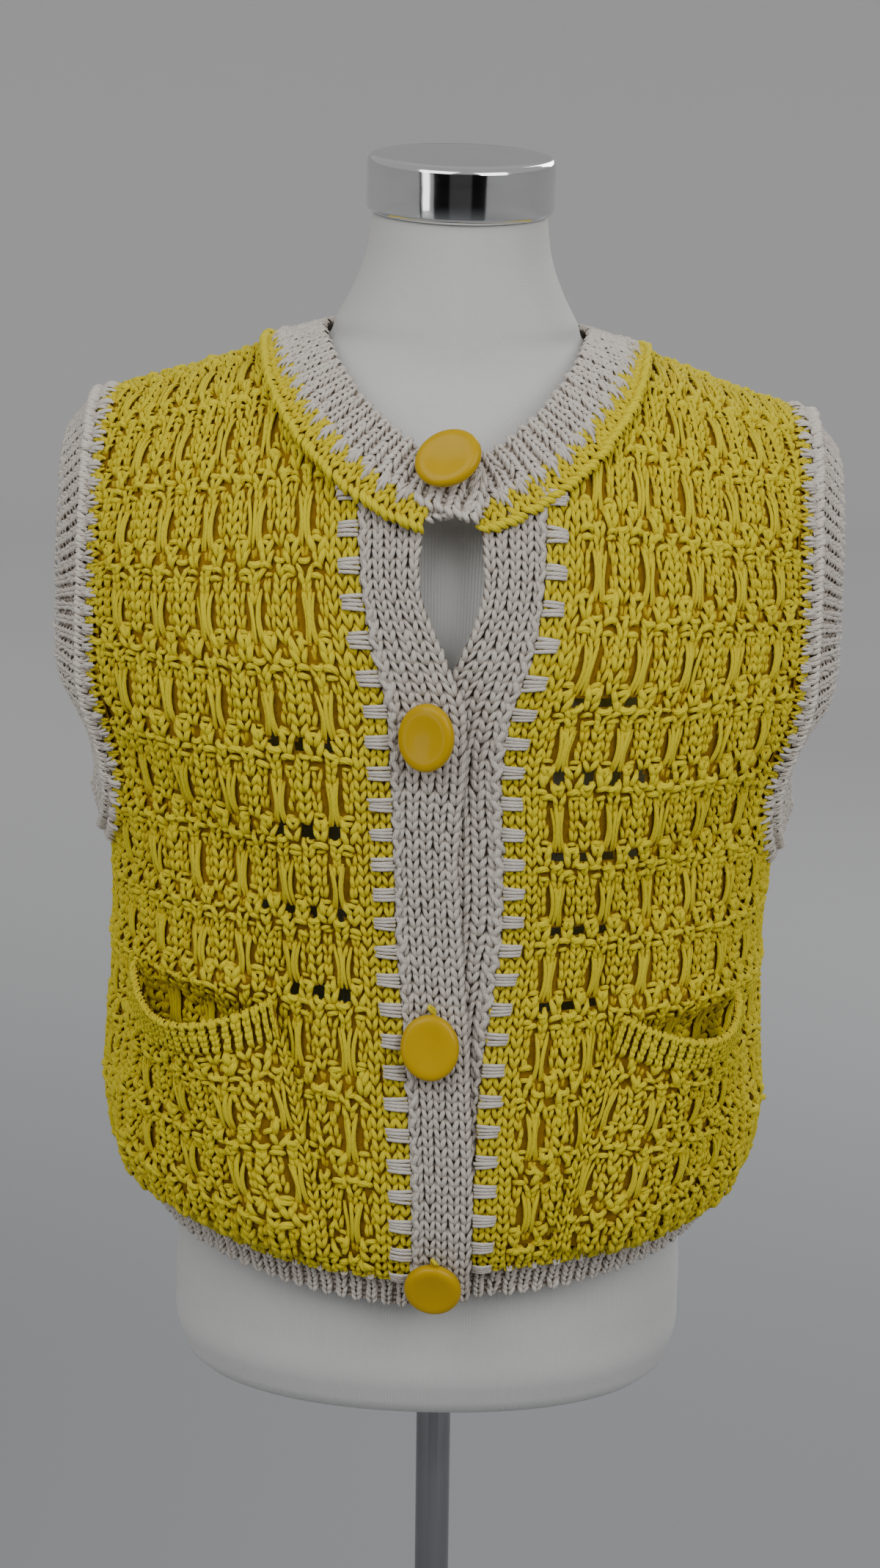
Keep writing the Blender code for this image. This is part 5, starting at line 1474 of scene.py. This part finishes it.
def fine_torso(material):
    """The form's body and neck, closed at both ends."""
    segments = TORSO_SEGMENTS
    heights = np.concatenate((np.linspace(TORSO_BOTTOM, SHOULDER_TOP, 130),
                              np.linspace(SHOULDER_TOP + 0.002, NECK_TOP, 60)))
    half, front, back = section_values(heights, TORSO_SECTIONS)
    angle = 2 * math.pi * (np.arange(segments) + 0.5) / segments
    power = 2 / TORSO_POWER
    sine = signed_power(np.sin(angle), power)[None, :]
    cosine = signed_power(np.cos(angle), power)[None, :]
    depth = np.where(cosine < 0, (front + TORSO_MIDDLE_Y)[:, None], (back - TORSO_MIDDLE_Y)[:, None])
    x = half[:, None] * sine
    y = TORSO_MIDDLE_Y + depth * cosine
    tilt = smooth_step((heights - NECK_TILT_START) / (NECK_TOP - NECK_TILT_START))[:, None]
    z = heights[:, None] + (y - NECK_MIDDLE_Y) * math.tan(CAP_TILT) * tilt
    grid = np.stack((x, y, z), axis=-1)
    ends = []
    for rim, middle, shares in (
            (grid[:1], np.array((0.0, TORSO_MIDDLE_Y, heights[0])), (0.02, 0.35, 0.7)),
            (grid[-1:], grid[-1:].mean(axis=1, keepdims=True), (0.7, 0.35, 0.02))):
        ends.append([middle + (rim - middle) * share for share in shares])
    grid = np.concatenate(ends[0] + [grid] + ends[1])
    quads = grid_quads(len(grid), segments, closed=True)[:, [1, 0, 3, 2]]
    obj = quad_object("form_cloth_body", leaned(grid.reshape(-1, 3)), quads, material)
    r, c = np.divmod(np.arange(len(quads)), segments)
    up = grid[..., 2].mean(axis=1)
    u = np.stack((c + 1, c, c, c + 1), axis=1) * RIB_WIDTH_ON_FORM
    v = np.stack((up[r], up[r], up[r + 1], up[r + 1]), axis=1)
    obj.data.uv_layers.new(name="cloth").data.foreach_set("uv", np.stack((u, v), axis=-1).ravel())
    dress(obj, "form_cloth", "form_torso")


chrome = chrome_material("polished_chrome", (0.80, 0.80, 0.81), (0.72, 0.72, 0.73))
smoky_chrome = chrome_material("smoky_chrome", (0.36, 0.36, 0.37), (0.28, 0.28, 0.29))
fine_torso(form_cloth_material())

LEAN_MATRIX = (Matrix.Translation((FORM_OFFSET_X, 0, TORSO_BOTTOM)) @ Matrix.Rotation(LEAN, 4, "Y")
               @ Matrix.Translation((0, 0, -TORSO_BOTTOM)))
cap_rise = SEAM + CAP_HEIGHT / 2
cap_matrix = LEAN_MATRIX @ Matrix.Translation(
    (0.0, NECK_MIDDLE_Y - cap_rise * math.sin(CAP_TILT), NECK_TOP + cap_rise * math.cos(CAP_TILT))
) @ Matrix.Rotation(CAP_TILT, 4, "X")
collar_bottom = TORSO_BOTTOM - SEAM - 0.0004 - COLLAR_HEIGHT
pole_bottom = BASE_HEIGHT + SEAM

Turned = namedtuple("Turned", "node radius bottom height edge segments material matrix")
for spec in (
        Turned("neck_cap", CAP_RADIUS, -CAP_HEIGHT / 2, CAP_HEIGHT, 0.0035, 96, chrome, cap_matrix),
        Turned("collar", COLLAR_RADIUS, collar_bottom, COLLAR_HEIGHT, 0.002, 64, smoky_chrome, None),
        Turned("pole", POLE_RADIUS, pole_bottom, collar_bottom - SEAM - pole_bottom, 0.0008, 64,
               smoky_chrome, None),
        Turned("base", BASE_RADIUS, 0.0, BASE_HEIGHT, 0.003, 128, chrome, None)):
    profile = rounded_profile(spec.radius, spec.bottom, spec.height, spec.edge)
    name = "chrome_" + spec.node.replace("neck_", "")
    dress(lathe(name, profile, spec.segments, spec.material, spec.matrix), "chrome", spec.node)


# ---------------------------------------------------------------- buttons
def button_material():
    """Polished golden-yellow resin with faint cloudy streaks and a few fine scratches."""
    made = Surface("button_resin", {"Roughness": 0.32, "Specular IOR Level": 0.10,
                                    "Coat Weight": 0.15, "Coat Roughness": 0.12})
    cloud = made.noise(160.0, 5.0, (1.0, 0.6, 0.35))
    made.link("Base Color", made.mix(cloud, (0.46, 0.280, 0.003), (0.51, 0.318, 0.004)))
    made.bump(made.noise(900.0, 2.0, (0.2, 1.0, 1.0)), 0.00003, 0.4)
    return made.material


def button_place(button):
    if button.height <= CHEST_HEIGHT:
        level = level_of_height(button.height)
    else:
        rows = np.arange(BODY_LEVELS, TOP_LEVEL + 1, dtype=float)
        heights = right_face.sample(right_face.points, rows, np.zeros_like(rows))[:, 2]
        level = np.interp(button.height, heights, rows)
    angle = float(right_face.angle_of_x(button.x, level))
    point, normal = right_face.at(level, angle)
    out = Vector(normal)
    side = Vector((1.0, 0.0, 0.0))
    side = (side - out * side.dot(out)).normalized()
    up = out.cross(side)
    frame_turn = Matrix((side, up, out)).transposed().to_4x4()
    outer_face = LAYER * (button.layers - 1) * 1.04 + WALL
    reach = math.sin(math.radians(max(abs(button.tip_side), abs(button.tip_up)))) * BUTTON_REACH
    middle = outer_face + BUTTON_LIFT + reach + BUTTON_THICKNESS / 2
    tip = Matrix.Rotation(math.radians(button.tip_side), 4, "Y") @ Matrix.Rotation(
        math.radians(-button.tip_up), 4, "X")
    return LEAN_MATRIX @ Matrix.Translation(point) @ frame_turn @ Matrix.Translation(
        (0, 0, middle)) @ tip @ Matrix.Rotation(math.radians(button.turn), 4, "Z"), middle


BUTTON_PROFILE = ((0.0, -0.46), (0.30, -0.47), (0.62, -0.47), (0.80, -0.42), (0.92, -0.28),
                  (0.985, -0.10), (1.00, 0.08), (0.985, 0.24), (0.93, 0.38), (0.84, 0.455),
                  (0.72, 0.475), (0.55, 0.455), (0.35, 0.43), (0.15, 0.42), (0.0, 0.42))
resin = button_material()
stations = np.linspace(0, len(BUTTON_PROFILE) - 1, 43)
radii, heights = [smooth_column(stations, np.arange(len(BUTTON_PROFILE)), [p[i] for p in BUTTON_PROFILE])
                  for i in (0, 1)]
for button in BUTTONS:
    matrix, middle = button_place(button)
    profile = np.stack((np.maximum(radii, 0.0) * button.width / 2, heights * BUTTON_THICKNESS), axis=1)
    disc = lathe(button.name + "_disc", profile, 72, resin, matrix, squash=button.length / button.width)
    dress(disc, "button_yellow", button.name)
    stem = lathe(button.name + "_stem", rounded_profile(STEM_RADIUS, -middle + 0.001, middle - 0.004, 0.0004),
                 24, resin, matrix)
    dress(stem, "button_yellow")


def tube(name, path, radius, knit, sides=10):
    """Round strand through points in space, with the yarn's coordinates."""
    line = smooth_line(path, 28)
    run = unit(np.gradient(line, axis=0))
    side = unit(np.cross(run, np.array((0.35, 0.2, 0.91))))
    up = np.cross(side, run)
    turn = 2 * math.pi * np.arange(sides + 1) / sides
    points = line[:, None] + radius * (side[:, None] * np.cos(turn)[None, :, None]
                                       + up[:, None] * np.sin(turn)[None, :, None])
    quads = grid_quads(*points.shape[:2])
    points = points.reshape(-1, 3)
    obj = quad_object(name, points, quads, knit.yarn)
    uv = np.stack(np.broadcast_arrays((running_length(line) / MM)[:, None], (turn / (2 * math.pi))[None]),
                  axis=-1).reshape(-1, 2)
    # a fixed height share for the loop's painted crevice shade, and a fixed tint
    add_yarn_data(obj, quads, uv, np.full(len(points), 0.85), np.full(len(points), 0.4))
    dress(obj, knit.slot)


for button, lean_side in ((BUTTONS[2], -1.0), (BUTTONS[3], 1.0)):
    turn_back = button_place(button)[0] @ Matrix.Rotation(math.radians(-button.turn), 4, "Z")
    reach = button.length / 2
    loop = [turn_back @ Vector((x * MM, reach * up, z * MM)) for x, up, z in (
        (-1.2, 0.72, -4.2), (-1.6 * lean_side, 1.06, -3.0), (-0.8, 1.24, 0.5),
        (0.9 * lean_side, 1.18, 2.0), (1.5, 1.0, -1.0), (1.4, 0.80, -4.2))]
    tube(button.name + "_loop", [tuple(p) for p in loop], 0.00115, YELLOW)


# ---------------------------------------------------------------- what each sheet was cut to
Cut = namedtuple("Cut", "node width length held rests_on")
CUTS = [Cut(*row) for row in (
    ("front_right", 0.255, 0.545, "hung", ("form_cloth_body",)),
    ("front_left", 0.245, 0.545, "hung", ("form_cloth_body",)),
    ("back", 0.560, 0.540, "hung", ("form_cloth_body",)),
    ("placket_right", 0.043, 0.470, "hung", ("front_right_cloth",)),
    ("placket_left", 0.045, 0.470, "hung", ("front_left_cloth",)),
    ("neckband", 0.660, 0.026, "hung", ("form_cloth_body",)),
    ("neck_border", 0.740, 0.018, "laid", ("front_right_cloth", "front_left_cloth", "back_cloth")),
    ("armband_right", 0.560, 0.030, "hung", ("front_right_cloth",)),
    ("armband_left", 0.560, 0.030, "hung", ("front_left_cloth",)),
    ("hem_band", 1.120, 0.024, "hung", ("back_cloth",)),
    ("pocket_right", 0.140, 0.175, "hung", ("front_right_cloth",)),
    ("pocket_left", 0.140, 0.170, "hung", ("front_left_cloth",)),
)]
for cut in CUTS:
    cloth, extras = body_pieces[cut.node]
    area = sum(polygon.area for polygon in cloth.data.polygons)
    list(cut.rests_on)


# ---------------------------------------------------------------- floor, light and camera
FLOOR_COLOUR = (0.290, 0.298, 0.308)
FLOOR_PATCH = (0.302, 0.310, 0.320)
WALL_GREY = 0.82
# Dark and bright upright fields on the wall behind the camera, for the chrome to mirror: the
# angle each starts at, in degrees off the camera's direction, and its grey.
WALL_FIELDS = ((-53.0, 0.02), (-50.0, 0.86), (-35.0, 0.010), (-15.0, 0.15), (11.5, 0.010),
               (30.0, WALL_GREY))
STUDIO_RADIUS = 9.0
STUDIO_ROUND = 1.4            # radius of the turn from the floor into the wall


def stage_material():
    """Pale grey, with the fields on the wall behind the camera; the floor's colour lightens with distance
    towards the wall's grey, painted light that makes up for the weaker lamp light far off.
    """
    made = Surface("studio_floor", {"Roughness": 0.9, "Specular IOR Level": 0.0})
    place = made.place()
    x, y, z = made.split(place)
    angle = made.math("ARCTAN2", x, made.math("MULTIPLY", y, -1.0))
    ramp = made.tree.nodes.new("ShaderNodeValToRGB")
    ramp.color_ramp.interpolation = "CONSTANT"
    stops = [(0.0, WALL_GREY)] + [(0.5 + degrees / 360.0, grey) for degrees, grey in WALL_FIELDS]
    for _ in range(len(stops) - 2):
        ramp.color_ramp.elements.new(0.5)
    for element, (position, grey) in zip(ramp.color_ramp.elements, stops):
        element.position = position
        element.color = (grey, grey, grey, 1.0)
    share = made.math("MULTIPLY_ADD", angle, 1 / (2 * math.pi), 0.5)
    made.tree.links.new(share, ramp.inputs["Fac"])
    wall = ramp.outputs["Color"]
    high = made.node("MapRange", {"Value": z, "From Min": 0.30, "From Max": 0.90}, "Result")
    # painted light: the floor far off is coloured lighter, towards the wall's grey, where the lamps give it
    # less light
    distance = made.node("VectorMath", {0: place}, "Value", operation="LENGTH")
    far_painted_light = made.node("MapRange", {"Value": distance, "From Min": 1.6, "From Max": 6.0}, "Result",
                    interpolation_type="SMOOTHSTEP")
    near_colour = made.mix(made.noise(0.8, 2.0), FLOOR_COLOUR, FLOOR_PATCH)
    made.link("Base Color", made.mix(high, made.mix(far_painted_light, near_colour, wall), wall))
    return made.material


bowl = [(x, 0.0) for x in (0.0, 1.0, 3.0, 5.5, STUDIO_RADIUS - STUDIO_ROUND)]
for turn in np.linspace(0.1, math.pi / 2, 14):
    bowl.append((STUDIO_RADIUS - STUDIO_ROUND + STUDIO_ROUND * math.sin(turn),
                 STUDIO_ROUND - STUDIO_ROUND * math.cos(turn)))
bowl += [(STUDIO_RADIUS, 2.6), (STUDIO_RADIUS, 4.2)]
floor = lathe("studio_floor", bowl, 128, stage_material())
floor.data.flip_normals()

# Place, height aimed at, width and height of the light, and watts.
Light = namedtuple("Light", "name place target_height size power")
for light in (Light("key_light", (-1.1, -1.8, 2.9), 1.2, (1.8, 1.8), 32.0),
              Light("fill_light", (1.5, -1.8, 2.5), 1.2, (1.6, 1.8), 35.0),
              Light("strip_light", (-3.2, -3.4, 1.6), 1.3, (0.7, 3.0), 17.0),
              Light("back_light", (1.5, 3.0, 2.9), 1.1, (1.8, 1.4), 62.0)):
    data = bpy.data.lights.new(light.name, "AREA")
    data.shape = "RECTANGLE"
    data.size, data.size_y = light.size
    data.energy = light.power
    obj = bpy.data.objects.new(light.name, data)
    obj.location = light.place
    aim = Vector((0, 0, light.target_height)) - Vector(light.place)
    obj.rotation_euler = aim.to_track_quat("-Z", "Y").to_euler()
    bpy.context.scene.collection.objects.link(obj)

WORLD_STRENGTH = 0.42
world = bpy.data.worlds.new("studio")
bpy.context.scene.world = world
world.use_nodes = True
background = world.node_tree.nodes["Background"]
background.inputs["Color"].default_value = (1.0, 1.0, 1.0, 1.0)
background.inputs["Strength"].default_value = WORLD_STRENGTH

CAMERA_LENS = 74.2
CAMERA_PLACE = (-0.001, -1.84, 1.597)
CAMERA_DOWN = math.radians(14.1)
CAMERA_ROLL = math.radians(0.75)
camera_data = bpy.data.cameras.new("camera")
camera_data.lens = CAMERA_LENS
camera_data.sensor_width = 36.0
camera_data.clip_end = 60.0
camera = bpy.data.objects.new("camera", camera_data)
camera.matrix_world = (Matrix.Translation(CAMERA_PLACE)
                       @ Matrix.Rotation(math.pi / 2 - CAMERA_DOWN, 4, "X")
                       @ Matrix.Rotation(CAMERA_ROLL, 4, "Z"))
bpy.context.scene.collection.objects.link(camera)
bpy.context.scene.camera = camera
